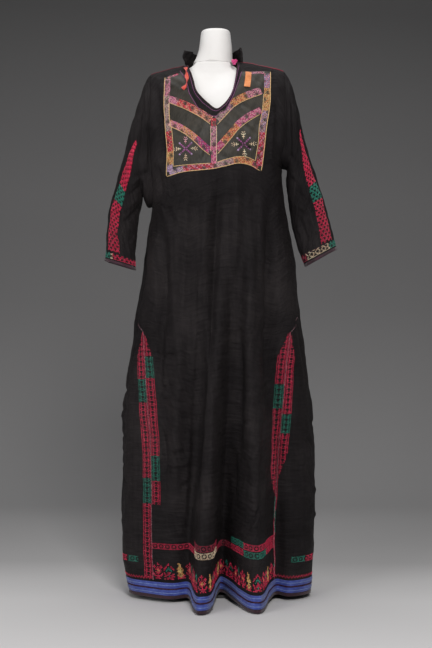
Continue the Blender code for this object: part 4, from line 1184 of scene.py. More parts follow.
class Work:
    """Cross-stitches gathered for one piece."""

    def __init__(self, name, size):
        self.name, self.size = name, size
        self.middle, self.along, self.out, self.names = [], [], [], []

    def add(self, middle, along, out, names):
        """Add crosses at some middles, with their first direction and their thread."""
        self.middle.append(middle)
        self.along.append(along)
        self.out.append(out)
        self.names += list(names)

    def add_row(self, field, row, places, names, **how):
        """Add a row of crosses: the thread's name at each place, or "" where the cloth is bare."""
        used = np.array([name != "" for name in names])
        if used.any():
            self.add(*field.sample(row, places[used], **how), [name for name in names if name])

    def finish(self):
        """Make the joined mesh."""
        middle, out = np.concatenate(self.middle), np.concatenate(self.out)
        along = unit(np.concatenate(self.along))
        up = np.cross(out, along)
        colours = dye(self.names)
        twice = [np.concatenate(pair) for pair in ((middle, middle), (out, out), (colours, colours))]
        ways = np.concatenate((along + up, along - up))
        lift = np.concatenate((np.full(len(middle), 0.34), np.full(len(middle), 0.24)))[:, None]
        return stitches(self.name, twice[0], ways, twice[1], self.size * 1.40, self.size * 0.74,
                        self.size * lift, twice[2])


HONEYCOMB = ("XXXXXX",
             "X...XX",
             "X...XX",
             "XX.XXX",
             "XXXXXX",
             ".XXX..",
             ".XXX..",
             "XXXXX.")
LADDER = ("X.XXXXXXX.X",
          "X.XX...XX.X",
          "X.X.....X.X",
          "X.XX...XX.X",
          "X.XXX.XXX.X",
          "XXXX...XXXX")
TRELLIS = ("XXXX",
           "X.XX",
           "XXXX",
           "XXX.")


def charted(chart, row, column):
    """The letter of a repeating chart at a row and column."""
    line = chart[row % len(chart)]
    return line[column % len(line)]


# %% [markdown]
# ### Bands down the gore seams
#
# A broad column of red figures runs down each side of every gore seam, with blocks of green, and
# a fine pink overcast covers the seam itself.  A column is laid out by measuring along the cloth from
# the seam, row by row, so it turns with the folds.

# %% Measure along the cloth
STITCH = 0.0022
COLUMN_WIDE = len(LADDER[0])


class Field:
    """A grid of cloth on which places are found by distance or by share."""

    def __init__(self, grid, out):
        self.grid, self.out = grid, out
        self.run = run_lengths(grid, 1)

    def row_at(self, height, column):
        """The row, with its fraction, at which one column reaches a height."""
        return float(np.interp(height, self.grid[:, column, 2], np.arange(len(self.grid))))

    def sample(self, row, distances, from_end=False, as_share=False):
        """Points, directions along the row and directions out, at distances along one row."""
        low = min(int(row), len(self.grid) - 2)
        part = row - low
        found = []
        for index in (low, low + 1):
            run = self.run[index]
            at = distances * run[-1] if as_share else distances
            at = run[-1] - at if from_end else at
            both = np.concatenate((self.grid[index], self.out[index]), -1)
            ahead = [np.interp(at + 0.0005, run, both[:, k]) for k in range(3)]
            here = [np.interp(at, run, both[:, k]) for k in range(6)]
            found.append(np.stack(here + ahead, -1))
        blend = found[0] * (1 - part) + found[1] * part
        return blend[:, :3], unit(blend[:, 6:9] - blend[:, :3] + 1e-9), unit(blend[:, 3:6])


FIELDS = {("front", 0): Field(FRONT, FRONT_OUT), ("back", 0): Field(BACK, BACK_OUT),
          ("gore", -1): Field(*GORES[-1]), ("gore", 1): Field(*GORES[1])}


def column_band(work, field, at_end, top, bottom, runs, seed, narrowed=()):
    """One column of figures beside a seam, from its tip down to a height.

    runs lists (lowest height, thread) from the top; at_end says that the seam is the row's end.
    """
    column = -1 if at_end else 0
    for k in range(int((top - bottom) / STITCH)):
        height = top - k * STITCH
        count = int(round(COLUMN_WIDE * min(1.0, 0.18 + (top - height) / 0.075)))
        if narrowed:
            count = int(round(count * (0.12 + 0.88 * smooth(*narrowed, height))))
        row = field.row_at(height, column)
        distances = 0.0012 + STITCH * (np.arange(count) + 0.5)
        thread = next(name for low, name in runs if height >= low)
        names = [thread if charted(LADDER, k + seed, j) == "X" else "" for j in range(count)]
        work.add_row(field, row, distances, names, from_end=at_end)


# %% The eight columns
LOWEST = 0.062
SIDE_COLUMNS = (
    # seam, piece, hand, seam at the row's end, top, bottom, runs of thread
    ("front_left", "front", 0, False, 0.700, 0.255,
     ((0.644, "red"), (0.586, "green"), (0.385, "red"), (0.319, "green"), (0.0, "red"))),
    ("front_left", "gore", -1, False, 0.706, LOWEST,
     ((0.583, "red"), (0.522, "green"), (0.325, "red"), (0.259, "green"), (0.0, "red"))),
    ("front_right", "front", 0, True, 0.706, LOWEST,
     ((0.570, "red"), (0.506, "green"), (0.275, "red"), (0.219, "green"), (0.0, "red"))),
    ("front_right", "gore", 1, False, 0.700, LOWEST,
     ((0.491, "red"), (0.441, "green"), (0.240, "red"), (0.180, "green"), (0.0, "red"))),
    ("back_left", "back", 0, False, 0.704, LOWEST,
     ((0.600, "red"), (0.540, "green"), (0.350, "red"), (0.290, "green"), (0.0, "red"))),
    ("back_left", "gore", -1, True, 0.700, LOWEST,
     ((0.560, "red"), (0.500, "green"), (0.300, "red"), (0.240, "green"), (0.0, "red"))),
    ("back_right", "back", 0, True, 0.704, LOWEST,
     ((0.610, "red"), (0.545, "green"), (0.360, "red"), (0.300, "green"), (0.0, "red"))),
    ("back_right", "gore", 1, True, 0.700, LOWEST,
     ((0.540, "red"), (0.480, "green"), (0.290, "red"), (0.230, "green"), (0.0, "red"))),
)
# The two columns that narrow to a line beside the great fold: the heights between.
NARROWED = {("front_right", "gore"): (0.315, 0.400), ("front_right", "front"): (0.270, 0.350)}
for seam in ("front_left", "front_right", "back_left", "back_right"):
    work = Work("seam_band_" + seam, STITCH)
    for k, (where, piece, hand, at_end, top, bottom, runs) in enumerate(SIDE_COLUMNS):
        if where == seam:
            column_band(work, FIELDS[(piece, hand)], at_end, top, bottom, runs, 3 * (k % 2),
                        NARROWED.get((where, piece), ()))
    work.finish()


# %% Overcast on the four seams
def overcast():
    """Slanting pink stitches that cover the seams."""
    middles, ways, outs = [], [], []
    for piece, hand, at_end in (("gore", -1, False), ("gore", -1, True), ("gore", 1, False),
                                ("gore", 1, True)):
        field = FIELDS[(piece, hand)]
        for height in np.arange(0.060, 0.745, 0.0030):
            row = field.row_at(height, -1 if at_end else 0)
            middle, along, out = field.sample(row, np.array((0.0001,)), at_end)
            middles.append(middle)
            ways.append(along * 1.6 + np.array((0.0, 0.0, 0.8)))
            outs.append(out)
    middle = np.concatenate(middles)
    colours = dye(["pale pink"] * len(middle)) * RANDOM.uniform(0.5, 1.0, (len(middle), 1))
    stitches("seam_overcast", middle, np.concatenate(ways), np.concatenate(outs), 0.0036, 0.0012,
             0.0011, colours)


overcast()

# %% [markdown]
# ### Bands of the sleeves and cuffs
#
# One band runs down the top of each sleeve from a point below the shoulder, and widens to the cuff.
# Round the cuff goes a band of its own in blocks of green, cream and red.

# %% Sleeve bands
SLEEVE_BAND = {
    -1: {"top": 1.288, "runs": ((1.114, "red"), (1.066, "green"), (0.0, "red")), "inset": 0.0085},
    1: {"top": 1.264, "runs": ((1.112, "red"), (1.066, "green"), (0.0, "red")), "inset": 0.0070},
}
def sleeve_field(hand):
    """The front half of a sleeve, from its outer edge inwards."""
    grid, out = SLEEVES[hand]
    outer = SLEEVE_HALF
    return Field(grid[::-1, outer::-1], out[::-1, outer::-1])


def band_start(field, inset):
    """How far round the sleeve its band starts, smoothed down its length."""
    grid = field.grid
    away = np.abs(grid[:, :, 0] - grid[:, :1, 0])
    heights = grid[:, 0, 2]
    starts = [np.interp(inset, away[row], field.run[row]) for row in range(len(grid))]
    used = heights < 1.26
    return np.poly1d(np.polyfit(heights[used], np.array(starts)[used], 2))


def sleeve_bands(hand, name):
    """The long band and the cuff band of one sleeve."""
    field, facts = sleeve_field(hand), SLEEVE_BAND[hand]
    work = Work("sleeve_band_" + name, STITCH)
    top = facts["top"]
    edge = field.grid[:, 0]
    down = run_lengths(edge[None], 1)[0]
    first = np.interp(top, edge[:, 2], down)
    cuff_rows = 7
    cuff_top = 0.0030 + cuff_rows * STITCH
    start = band_start(field, facts["inset"])
    for k in range(int((first - cuff_top - 0.002) / STITCH)):
        at = first - k * STITCH
        row = float(np.interp(at, down, np.arange(len(edge))))
        height = float(np.interp(at, down, edge[:, 2]))
        share = (first - at) / first
        count = int(round(5 + 9 * min(1.0, share * 3.5) + 3 * share))
        thread = next(dyed for low, dyed in facts["runs"] if height >= low)
        names = [thread if charted(HONEYCOMB, k, j) == "X" else "" for j in range(count)]
        distances = start(height) + STITCH * (np.arange(count) + 0.5)
        work.add_row(field, row, distances, names)
    cuff_band(work, hand, cuff_rows)
    work.finish()


CUFF_BLOCKS = {
    # (share round the front from the outer edge, thread)
    -1: ((0.34, "green"), (0.37, "cream"), (1.0, "red")),
    1: ((0.33, "green"), (0.76, "cream"), (1.0, "dark red")),
}
CUFF_CROSS = ("........",
              "XX....XX",
              ".XX..XX.",
              "..XXXX..",
              ".XX..XX.",
              "XX....XX",
              "........")


def cuff_band(work, hand, rows):
    """Blocks of stitches right round the cuff."""
    grid, out = SLEEVES[hand]
    turned, turned_out = (np.roll(part, -SLEEVE_HALF, axis=1)[::-1] for part in (grid, out))
    closed = [np.concatenate((part, part[:, :1]), 1)[:, ::-1] for part in (turned, turned_out)]
    field = Field(*closed)
    length = field.run[0, -1]
    count = int(length / STITCH)
    share = (np.arange(count) + 0.5) / count
    down = run_lengths(field.grid[:, 0][None], 1)[0]
    for k in range(rows):
        row = float(np.interp(0.0030 + (k + 0.5) * STITCH, down, np.arange(len(down))))
        half = np.where(share < 0.5, share * 2, (1 - share) * 2)
        names = []
        for j in range(count):
            thread = next(dyed for high, dyed in CUFF_BLOCKS[hand] if half[j] <= high)
            chart = CUFF_CROSS if thread == "cream" and 0 < k < rows - 1 else HONEYCOMB
            bare = "maroon" if thread == "cream" and k in (0, rows - 1) else ""
            names.append(thread if charted(chart, k, j) == "X" else bare)
        work.add_row(field, row, share, names, as_share=True)


for hand, name in ((-1, "left"), (1, "right")):
    sleeve_bands(hand, name)

# %% [markdown]
# ### The band and the motifs above the hem
#
# A narrow honeycomb band circles the skirt a hand's breadth up, and under it stands a row of small
# figures, charted like samplers: a bush, a ewer, a tent and a sprig.  They are drawn afresh, after
# the usual kinds.

# %% Skirt band
BAND_FOOT = 0.141
BAND_CHART = ("XXXXXXXX",
              "XX....XX",
              "X..XX..X",
              "X.XXXX.X",
              "X..XX..X",
              "XX....XX",
              "XXXXXXXX",
              "........")
BAND_BLOCKS = {
    # (highest place across, rows of stitches, thread of the lower row, thread of the upper row)
    "front": ((-0.055, 8, "red", "red"), (0.001, 15, "cream", "dark red"), (0.040, 8, "dark red",
              "dark red"), (0.070, 15, "red", "green"), (0.128, 15, "green", "red"),
              (0.30, 15, "red", "red")),
    "back": ((-0.100, 8, "red", "red"), (-0.030, 15, "green", "red"), (0.030, 8, "red", "red"),
             (0.100, 15, "red", "green"), (0.30, 8, "red", "red")),
}


def band_start_row(field, foot, size):
    """A level band's first row, the height that a row rises, and its stitches' shares."""
    middle = field.grid.shape[1] // 2
    first = field.row_at(foot, middle)
    rise = np.gradient(field.grid[:, middle, 2])[int(first)]
    count = int(field.run[int(first), -1] / size)
    return first, rise, (np.arange(count) + 0.5) / count


def skirt_band(name, field):
    """The band on the front or the back."""
    work = Work("skirt_band_" + name, STITCH)
    base_row, rise, share = band_start_row(field, BAND_FOOT, STITCH)
    repeat = len(BAND_CHART)
    for k in range(2 * repeat - 1):
        row = base_row + k * STITCH / rise
        names = []
        for j, place in enumerate(field.sample(row, share, as_share=True)[0]):
            _, rows, lower, upper = next(part for part in BAND_BLOCKS[name] if place[0] <= part[0])
            stitched = k < rows and charted(BAND_CHART, k, j) == "X"
            names.append("" if not stitched else lower if k < repeat else upper)
        work.add_row(field, row, share, names, as_share=True)
    work.finish()


for name in ("front", "back"):
    skirt_band(name, FIELDS[(name, 0)])

# %% Motifs
BUSH, EWER, TENT, SPRIG = zip(*(line.split() for line in """\
    ....R....  ..OO....  ....R....  ..G..
    ...RRR...  ..OYO...  ...RRR...  .GGG.
    .R..R..R.  ...YO...  ..RR.RR..  G.G.G
    RRR.R.RRR  ..OYY...  .RR.G.RR.  .GGG.
    .R.RRR.R.  .OYYYO..  RR.GGG.RR  ..G..
    ..RRORR..  .OYYYYO.  R.GG.GG.R  R.G.R
    .RROOORR.  .OYYYYO.  ..G.R.G..  RRGRR
    ..RRORR..  ..OYYO..  R..RRR..R  .RRR.
    R..RRR..R  ..OYYO..  RR.RRR.RR  ..R..
    RR..R..RR  .OOYYOO.  .RRRGRRR.  .RRR.
    .RRRRRRR.  RROYYORR  RRR.G.RRR  RR.RR
    ...RRR...  .RROORR.  ..RRRRR..  .RRR.
    ..RRRRR..  RRRRRRRR  RRRR.RRRR  RRRRR
""".splitlines()))
MOTIFS = (BUSH, TENT, EWER, BUSH, SPRIG, TENT, BUSH, SPRIG, BUSH, EWER, TENT)
MOTIF_FOOT = 0.064
MOTIF_STITCH = 0.0033
MOTIF_WEAR = 0.10
MOTIF_LETTERS = {"R": "red", "O": "orange", "Y": "yellow", "G": "green", ".": ""}


def motif_row(name, field):
    """The row of small figures on the front or the back."""
    work = Work("motifs_" + name, MOTIF_STITCH)
    base_row, rise, share = band_start_row(field, MOTIF_FOOT, MOTIF_STITCH)
    count = len(share)
    for k in range(len(BUSH)):
        letters, number = [], 0
        while len(letters) < count:
            letters += list(MOTIFS[number % len(MOTIFS)][len(BUSH) - 1 - k]) + ["."]
            number += 1
        worn = RANDOM.random(count) < MOTIF_WEAR
        names = ["" if lost else MOTIF_LETTERS[letter] for letter, lost in zip(letters, worn)]
        work.add_row(field, base_row + k * MOTIF_STITCH / rise, share, names, as_share=True)
    work.finish()


for name in ("front", "back"):
    motif_row(name, FIELDS[(name, 0)])

# %% Patches and zigzag on the gores
ZIGZAG = ("X...X...",
          "XX.XXX.X",
          ".XXX.XXX",
          "..X...X.")
GORE_PATCHES = ((0.14, 0.26, "green"), (0.27, 0.39, "red"), (0.60, 0.72, "red"), (0.73, 0.85, "green"))
PATCH_FOOT, ZIGZAG_FOOT = 0.103, 0.060


def gore_trim(hand, name):
    """Two-coloured patches and a zigzag border on one gore."""
    field = FIELDS[("gore", hand)]
    work = Work("gore_trim_" + name, STITCH)
    for foot, chart, blocks in ((PATCH_FOOT, BAND_CHART, GORE_PATCHES),
                                (ZIGZAG_FOOT, ZIGZAG, ((0.0, 1.0, "red"),))):
        base_row, rise, share = band_start_row(field, foot, STITCH)
        for k in range(len(chart)):
            names = []
            for j, at in enumerate(share):
                thread = next((block[2] for block in blocks if block[0] <= at <= block[1]), "")
                names.append(thread if charted(chart, k, j) == "X" else "")
            work.add_row(field, base_row + k * STITCH / rise, share, names, as_share=True)
    work.finish()


for hand, name in ((-1, "left"), (1, "right")):
    gore_trim(hand, name)

# %% [markdown]
# ### The chest panel's needlework
#
# Strips of close silk stitches frame the panel, run down its middle and slant across it twice on
# each side.  Each changes colour along its way.  A gold cord is couched along their edges, and a
# star stands in each lower corner.  The strips follow lines of a few points, given from the front.

# %% Lines on the panel
CHEST_STITCH = 0.0021


def line_points(points, step):
    """Even points along a line through a few given ones, with the direction at each."""
    points = np.array(points, float)
    run = run_lengths(points[None], 1)[0]
    fine = np.linspace(0.0, run[-1], max(int(run[-1] / step), 2) + 1)
    if len(points) > 2:
        places = np.stack([curve(run, points[:, k], fine) for k in range(2)], -1)
    else:
        places = np.stack([np.interp(fine, run, points[:, k]) for k in range(2)], -1)
    return places, unit(np.gradient(places, axis=0)), fine / run[-1]


STRIPS = (
    # name, line, stitches wide, runs of (end of the share, thread, thread beside it)
    ("left", [(-0.1265, 1.374), (-0.1275, 1.323), (-0.127, 1.257), (-0.122, 1.222), (-0.119, 1.176),
              (-0.119, 1.124)], 7,
     ((0.20, "pink", "mauve"), (0.58, "tan", "mauve"), (0.79, "bright red", "red"),
      (0.93, "orange", "yellow"), (1.0, "lilac", "lilac"))),
    ("foot", [(-0.119, 1.119), (-0.086, 1.1285), (-0.044, 1.133), (-0.005, 1.137), (0.028, 1.145),
              (0.059, 1.152), (0.086, 1.148), (0.107, 1.135)], 7,
     ((0.16, "lilac", "tan"), (0.52, "red", "pink"), (0.72, "mauve", "tan"), (0.93, "orange", "rust"),
      (1.0, "red", "magenta"))),
    ("right", [(0.134, 1.388), (0.134, 1.343), (0.129, 1.286), (0.121, 1.243), (0.118, 1.201),
               (0.110, 1.140)], 7,
     ((0.16, "lilac", "pink"), (0.42, "orange", "yellow"), (0.66, "mauve", "lilac"),
      (1.0, "red", "pink"))),
    ("head_left", [(-0.126, 1.379), (-0.112, 1.385), (-0.101, 1.389)], 3,
     ((0.6, "pink", "salmon"), (1.0, "red", "pink"))),
    ("head_right", [(0.090, 1.391), (0.108, 1.392), (0.126, 1.391)], 3,
     ((1.0, "pink", "pale pink"),)),
    ("upper_left", [(-0.122, 1.317), (-0.079, 1.298), (-0.042, 1.276), (-0.013, 1.257)], 9,
     ((0.20, "pink", "pink"), (0.56, "bright red", "salmon"), (1.0, "salmon", "rust"))),
    ("upper_right", [(0.117, 1.339), (0.082, 1.325), (0.049, 1.306), (0.028, 1.282),
                     (0.004, 1.257)], 9,
     ((0.28, "pink", "mauve"), (0.62, "orange", "rust"), (0.74, "purple", "mauve"),
      (1.0, "mauve", "tan"))),
    ("lower_left", [(-0.120, 1.251), (-0.090, 1.236), (-0.055, 1.210), (-0.032, 1.189),
                    (-0.015, 1.175)], 8,
     ((0.26, "pink", "salmon"), (0.62, "salmon", "orange"), (1.0, "magenta", "purple"))),
    ("lower_right", [(0.116, 1.284), (0.083, 1.266), (0.058, 1.245), (0.036, 1.218), (0.013, 1.192),
                     (0.003, 1.180)], 8,
     ((0.48, "pink", "magenta"), (0.86, "rust", "orange"), (1.0, "magenta", "pink"))),
    ("middle", [(-0.006, 1.258), (-0.006, 1.210), (-0.006, 1.143)], 6,
     ((0.16, "bright red", "red"), (0.60, "mauve", "pink"), (1.0, "pink", "magenta"))),
)


def chest_strips():
    """All the strips of close stitching, as one piece of work."""
    work = Work("chest_strips", CHEST_STITCH)
    for name, line, wide, runs in STRIPS:
        places, ways, share = line_points(line, CHEST_STITCH)
        across = np.stack((-ways[:, 1], ways[:, 0]), -1)
        for j in range(wide):
            aside = (j - (wide - 1) / 2) * CHEST_STITCH
            at = places + across * aside
            middle, out = place_on_front(at[:, 0], at[:, 1], PANEL_LIFT + 0.0003)
            ahead, _ = place_on_front(at[:, 0] + ways[:, 0] * 0.001, at[:, 1] + ways[:, 1] * 0.001,
                                      PANEL_LIFT + 0.0003)
            edge = j in (0, wide - 1)
            chosen = np.array([edge or k % 6 != 3 or j % 3 != 1 for k in range(len(at))])
            names = []
            for k in range(len(at)):
                _, first, second = next(part for part in runs if share[k] <= part[0])
                pale = charted(TRELLIS, k, j) != "X" and not edge
                names.append("cream" if pale else second if (k // 3 + j // 2) % 3 == 0 else first)
            work.add(middle[chosen], (ahead - middle)[chosen], out[chosen],
                     [dyed for dyed, used in zip(names, chosen) if used])
    work.finish()


chest_strips()

# %% Gold cords
CORDS = (
    # thread, radius, line
    ("gold", 0.0009, [(-0.1345, 1.380), (-0.1355, 1.321), (-0.1350, 1.255), (-0.130, 1.212),
                      (-0.1275, 1.170), (-0.1285, 1.112)]),
    ("gold", 0.0008, [(-0.1225, 1.305), (-0.120, 1.258), (-0.1145, 1.232), (-0.1105, 1.184),
                      (-0.110, 1.136)]),
    ("gold", 0.0009, [(-0.1285, 1.111), (-0.086, 1.1210), (-0.044, 1.1252), (-0.005, 1.129),
                      (0.028, 1.1365), (0.059, 1.1435), (0.086, 1.1395), (0.112, 1.1260)]),
    ("gold", 0.0008, [(-0.110, 1.1365), (-0.060, 1.1400), (-0.014, 1.1425)]),
    ("gold", 0.0008, [(0.003, 1.1455), (0.028, 1.1535), (0.059, 1.1605), (0.082, 1.1590),
                      (0.101, 1.1510)]),
    ("gold", 0.0010, [(0.1430, 1.394), (0.1425, 1.343), (0.1385, 1.290), (0.1310, 1.243),
                      (0.1265, 1.201), (0.1160, 1.126)]),
    ("gold", 0.0008, [(0.1245, 1.330), (0.1205, 1.288), (0.1125, 1.243), (0.1095, 1.205),
                      (0.1010, 1.151)]),
    ("gold", 0.0008, [(-0.122, 1.306), (-0.076, 1.284), (-0.042, 1.2645), (-0.0145, 1.244)]),
    ("gold", 0.0008, [(0.120, 1.3290), (0.086, 1.3150), (0.059, 1.3000), (0.042, 1.2870),
                      (0.026, 1.2675), (0.0035, 1.2430)]),
    ("gold", 0.0008, [(-0.120, 1.2415), (-0.090, 1.2260), (-0.058, 1.2015), (-0.035, 1.1790),
                      (-0.0150, 1.1635)]),
    ("gold", 0.0008, [(0.1135, 1.2720), (0.088, 1.2560), (0.062, 1.2350), (0.041, 1.2100),
                      (0.018, 1.1825), (0.0035, 1.1665)]),
    ("cream", 0.0007, [(-0.0135, 1.240), (-0.0135, 1.200), (-0.0135, 1.172)]),
    ("cream", 0.0007, [(0.0015, 1.240), (0.0015, 1.200), (0.0015, 1.146)]),
)
CORD_SIDES = 6


def cord_tube(places, out, radius, twist=0.0):
    """Points and faces of a round cord that lies on the cloth; its ends taper shut."""
    along = unit(np.gradient(places, axis=0))
    aside = unit(np.cross(out, along))
    turns = np.arange(CORD_SIDES) * 2 * np.pi / CORD_SIDES
    slim = np.full(len(places), radius)
    slim[[0, -1]] = radius * 0.25
    twisting = np.arange(len(places))[:, None] * twist
    bulge = 1.0 + (0.22 * np.cos(2 * (turns + twisting)) if twist else 0.0)
    arms = (np.cos(turns)[None, :, None] * aside[:, None]
            + np.sin(turns)[None, :, None] * out[:, None])
    rings = places[:, None] + arms * (slim[:, None] * bulge)[..., None]
    i, j = np.meshgrid(np.arange(len(places) - 1), np.arange(CORD_SIDES), indexing="ij")
    k = (j + 1) % CORD_SIDES
    quads = np.stack((i * CORD_SIDES + j, i * CORD_SIDES + k, (i + 1) * CORD_SIDES + k,
                      (i + 1) * CORD_SIDES + j), -1).reshape(-1, 4)
    last = (len(places) - 1) * CORD_SIDES
    caps = [list(range(CORD_SIDES))[::-1], [last + side for side in range(CORD_SIDES)]]
    return rings.reshape(-1, 3), quads[:, ::-1].tolist() + [cap[::-1] for cap in caps]


def edit_alone(piece):
    """Open one object in edit mode, with all of it selected."""
    bpy.ops.object.select_all(action="DESELECT")
    piece.select_set(True)
    bpy.context.view_layer.objects.active = piece
    bpy.ops.object.mode_set(mode="EDIT")
    bpy.ops.mesh.select_all(action="SELECT")


def join_cords(name, parts, material=None):
    """Several cords in their own colours as one piece."""
    points, faces, colours = [], [], []
    for tube, quads, colour in parts:
        start = sum(len(part) for part in points)
        points.append(tube)
        faces += [[index + start for index in face] for face in quads]
        colours.append(np.tile(colour, (len(tube), 1)))
    piece = add_mesh(name, np.concatenate(points), faces, material or FLOSS,
                     dyes=np.concatenate(colours))
    edit_alone(piece)
    bpy.ops.mesh.normals_make_consistent(inside=False)
    bpy.ops.object.mode_set(mode="OBJECT")
    piece.select_set(False)
    register(piece)
    print(f"{name}: {len(parts)} cords")
    return piece


def couched_cords():
    """The gold and cream cords of the chest panel."""
    parts = []
    for thread, radius, line in CORDS:
        places, _, _ = line_points(line, 0.0022)
        middle, out = place_on_front(places[:, 0], places[:, 1], PANEL_LIFT + radius * 0.75)
        tube, quads = cord_tube(middle, out, radius, twist=0.8)
        parts.append((tube, quads, np.array(THREADS[thread])))
    join_cords("chest_cords", parts)


couched_cords()

# %% Stars
STARS = ((-0.078, 1.181, 1.14, 0.00), (0.072, 1.193, 1.20, 0.06))


def stars():
    """Two eight-armed stars: a purple saltire, and a small cream tree in each gap."""
    middles, ways, lengths, names = [], [], [], []

    def stitch(x, z, angle, length, thread):
        middles.append((x, z))
        ways.append((math.cos(angle), math.sin(angle)))
        lengths.append(length)
        names.append(thread)

    for number, (x, z, size, turn) in enumerate(STARS):
        for quarter in range(4):
            slant = turn + math.pi / 4 + quarter * math.pi / 2
            for reach in (0.004, 0.009, 0.014, 0.019):
                for aside in (-0.0009, 0.0009):
                    stitch(x + size * (reach * math.cos(slant) - aside * math.sin(slant)),
                           z + size * (reach * math.sin(slant) + aside * math.cos(slant)) * 0.92,
                           slant, 0.0062, "purple" if reach < 0.018 else "lilac")
            straight = turn + quarter * math.pi / 2
            thread = "pale pink" if number == 0 and quarter == 1 else "cream"
            for reach in (0.013, 0.017, 0.021):
                stitch(x + size * reach * math.cos(straight), z + size * reach * math.sin(straight),
                       straight, 0.0056, thread)
            for reach, wide in ((0.016, 0.0030), (0.021, 0.0048), (0.0255, 0.0034)):
                for hand in (-1, 1):
                    lean = straight + hand * 0.9
                    stitch(x + size * (reach * math.cos(straight) - hand * wide * 0.6
                                       * math.sin(straight)),
                           z + size * (reach * math.sin(straight) + hand * wide * 0.6
                                       * math.cos(straight)), lean, wide * 1.6, thread)
    at, way = np.array(middles), np.array(ways)
    middle, out = place_on_front(at[:, 0], at[:, 1], PANEL_LIFT + 0.0003)
    ahead, _ = place_on_front(at[:, 0] + way[:, 0] * 0.001, at[:, 1] + way[:, 1] * 0.001,
                              PANEL_LIFT + 0.0003)
    stitches("chest_stars", middle, ahead - middle, out, np.array(lengths) * 1.1, 0.0025, 0.0013,
             dye(names))


stars()

# %% [markdown]
# ### Cords on the neck and shoulders
#
# A thin purple cord edges the binding, and a dark red one covers each shoulder seam.

# %% Neck and shoulder cords
def edge_cords():
    """Cords along the binding's two edges and the shoulder seams; the left shoulder's cord has painted
    shade.
    """
    parts = []
    for row, radius, thread in ((0, 0.0008, "purple"), (-1, 0.0008, "maroon"), (8, 0.0006, "purple")):
        places, out = BINDING_GRID[row], BINDING_OUT[row]
        tube, quads = cord_tube(places + out * 0.0002, out, radius, twist=0.9)
        parts.append((tube, quads, np.array(THREADS[thread]) * 0.55))
    top = FRONT[-1]
    # Painted shade: the left shoulder's cord is darkened to about a third of its thread's colour and the
    # right one only a little, so the left reads as in shadow.
    for inside, shade in ((top[:, 0] < -0.082, 0.35), (top[:, 0] > 0.064, 0.9)):
        places = top[inside]
        out = unit(FRONT_OUT[-1][inside] + np.array((0.0, 0.0, 1.2)))
        tube, quads = cord_tube(places + out * 0.0011, out, 0.0011, twist=0.9)
        parts.append((tube, quads, np.array(THREADS["dark red"]) * shade))
    join_cords("neck_and_shoulder_cords", parts)


edge_cords()

# %% [markdown]
# ## The hem
#
# Two blue tapes circle the hem with a dark cord between them, and the raw edge is bound in maroon.
# The tapes are made from the hem's own points, moved out, and each has a slight crown.

# %% Tapes and bound edge
HEM_STEPS = 5


def around_hem(share_low, share_high, rows, lift):
    """A ring of cloth round the skirt between two heights, and the directions out of it."""
    levels = HEM + (TAPE_TOP - HEM) * np.linspace(share_low, share_high, rows)
    bands, outs = [], []
    for number, level in enumerate(levels):
        left, right = edge_turn(-1, level), edge_turn(1, level)
        stretches = ((-1, left, right, 240), (-1, right, 1.0, 26), (1, 1.0, right, 26),
                     (1, right, left, 200), (1, left, -1.0, 26), (-1, -1.0, left, 26))
        places, ways = [], []
        for side, start, end, count in stretches:
            turns = even_turns(side, start, end, level, count + 1)[:-1]
            place, way = dress(side, turns, level, lift[number])
            places.append(place)
            ways.append(way)
        bands.append(np.concatenate(places))
        outs.append(np.concatenate(ways))
    return np.array(bands), np.array(outs)


def make_tapes():
    """Both blue tapes, the dark cord between them, and pale blue lines along their middles that are a
    painted highlight.
    """
    lifted = SEAM + APPLIED + 0.0008 * np.sin(np.linspace(0.15, np.pi - 0.15, HEM_STEPS))
    for name, low, high, nodes in (("hem_tape_lower", 0.02, 0.45, ["hem_tape"]),
                                   ("hem_tape_upper", 0.57, 1.00, ())):
        grid, out = around_hem(low, high, HEM_STEPS, lifted)
        tape = wall(name, grid, out, APPLIED, BLUE, closed=True)
        register(tape, nodes, grid, closed=True)
    parts = []
    # The pale blue lines run along the middle of each tape, where its crown catches the light: a painted
    # highlight, made as thin cords.
    for share, radius, thread, shade in ((0.51, 0.0016, "maroon", 0.45), (0.20, 0.0006, "pale blue", 0.8),
                                         (0.80, 0.0006, "pale blue", 0.8)):
        lift = radius * 0.8 if share == 0.51 else SEAM + APPLIED + 0.0008
        grid, out = around_hem(share, share, 1, np.array((lift,)))
        ring_points = np.concatenate((grid[0], grid[0][:1]))
        ring_out = np.concatenate((out[0], out[0][:1]))
        tube, quads = cord_tube(ring_points, ring_out, radius, twist=0.7)
        parts.append((tube, quads, np.array(THREADS[thread]) * shade))
    join_cords("hem_cords", parts)


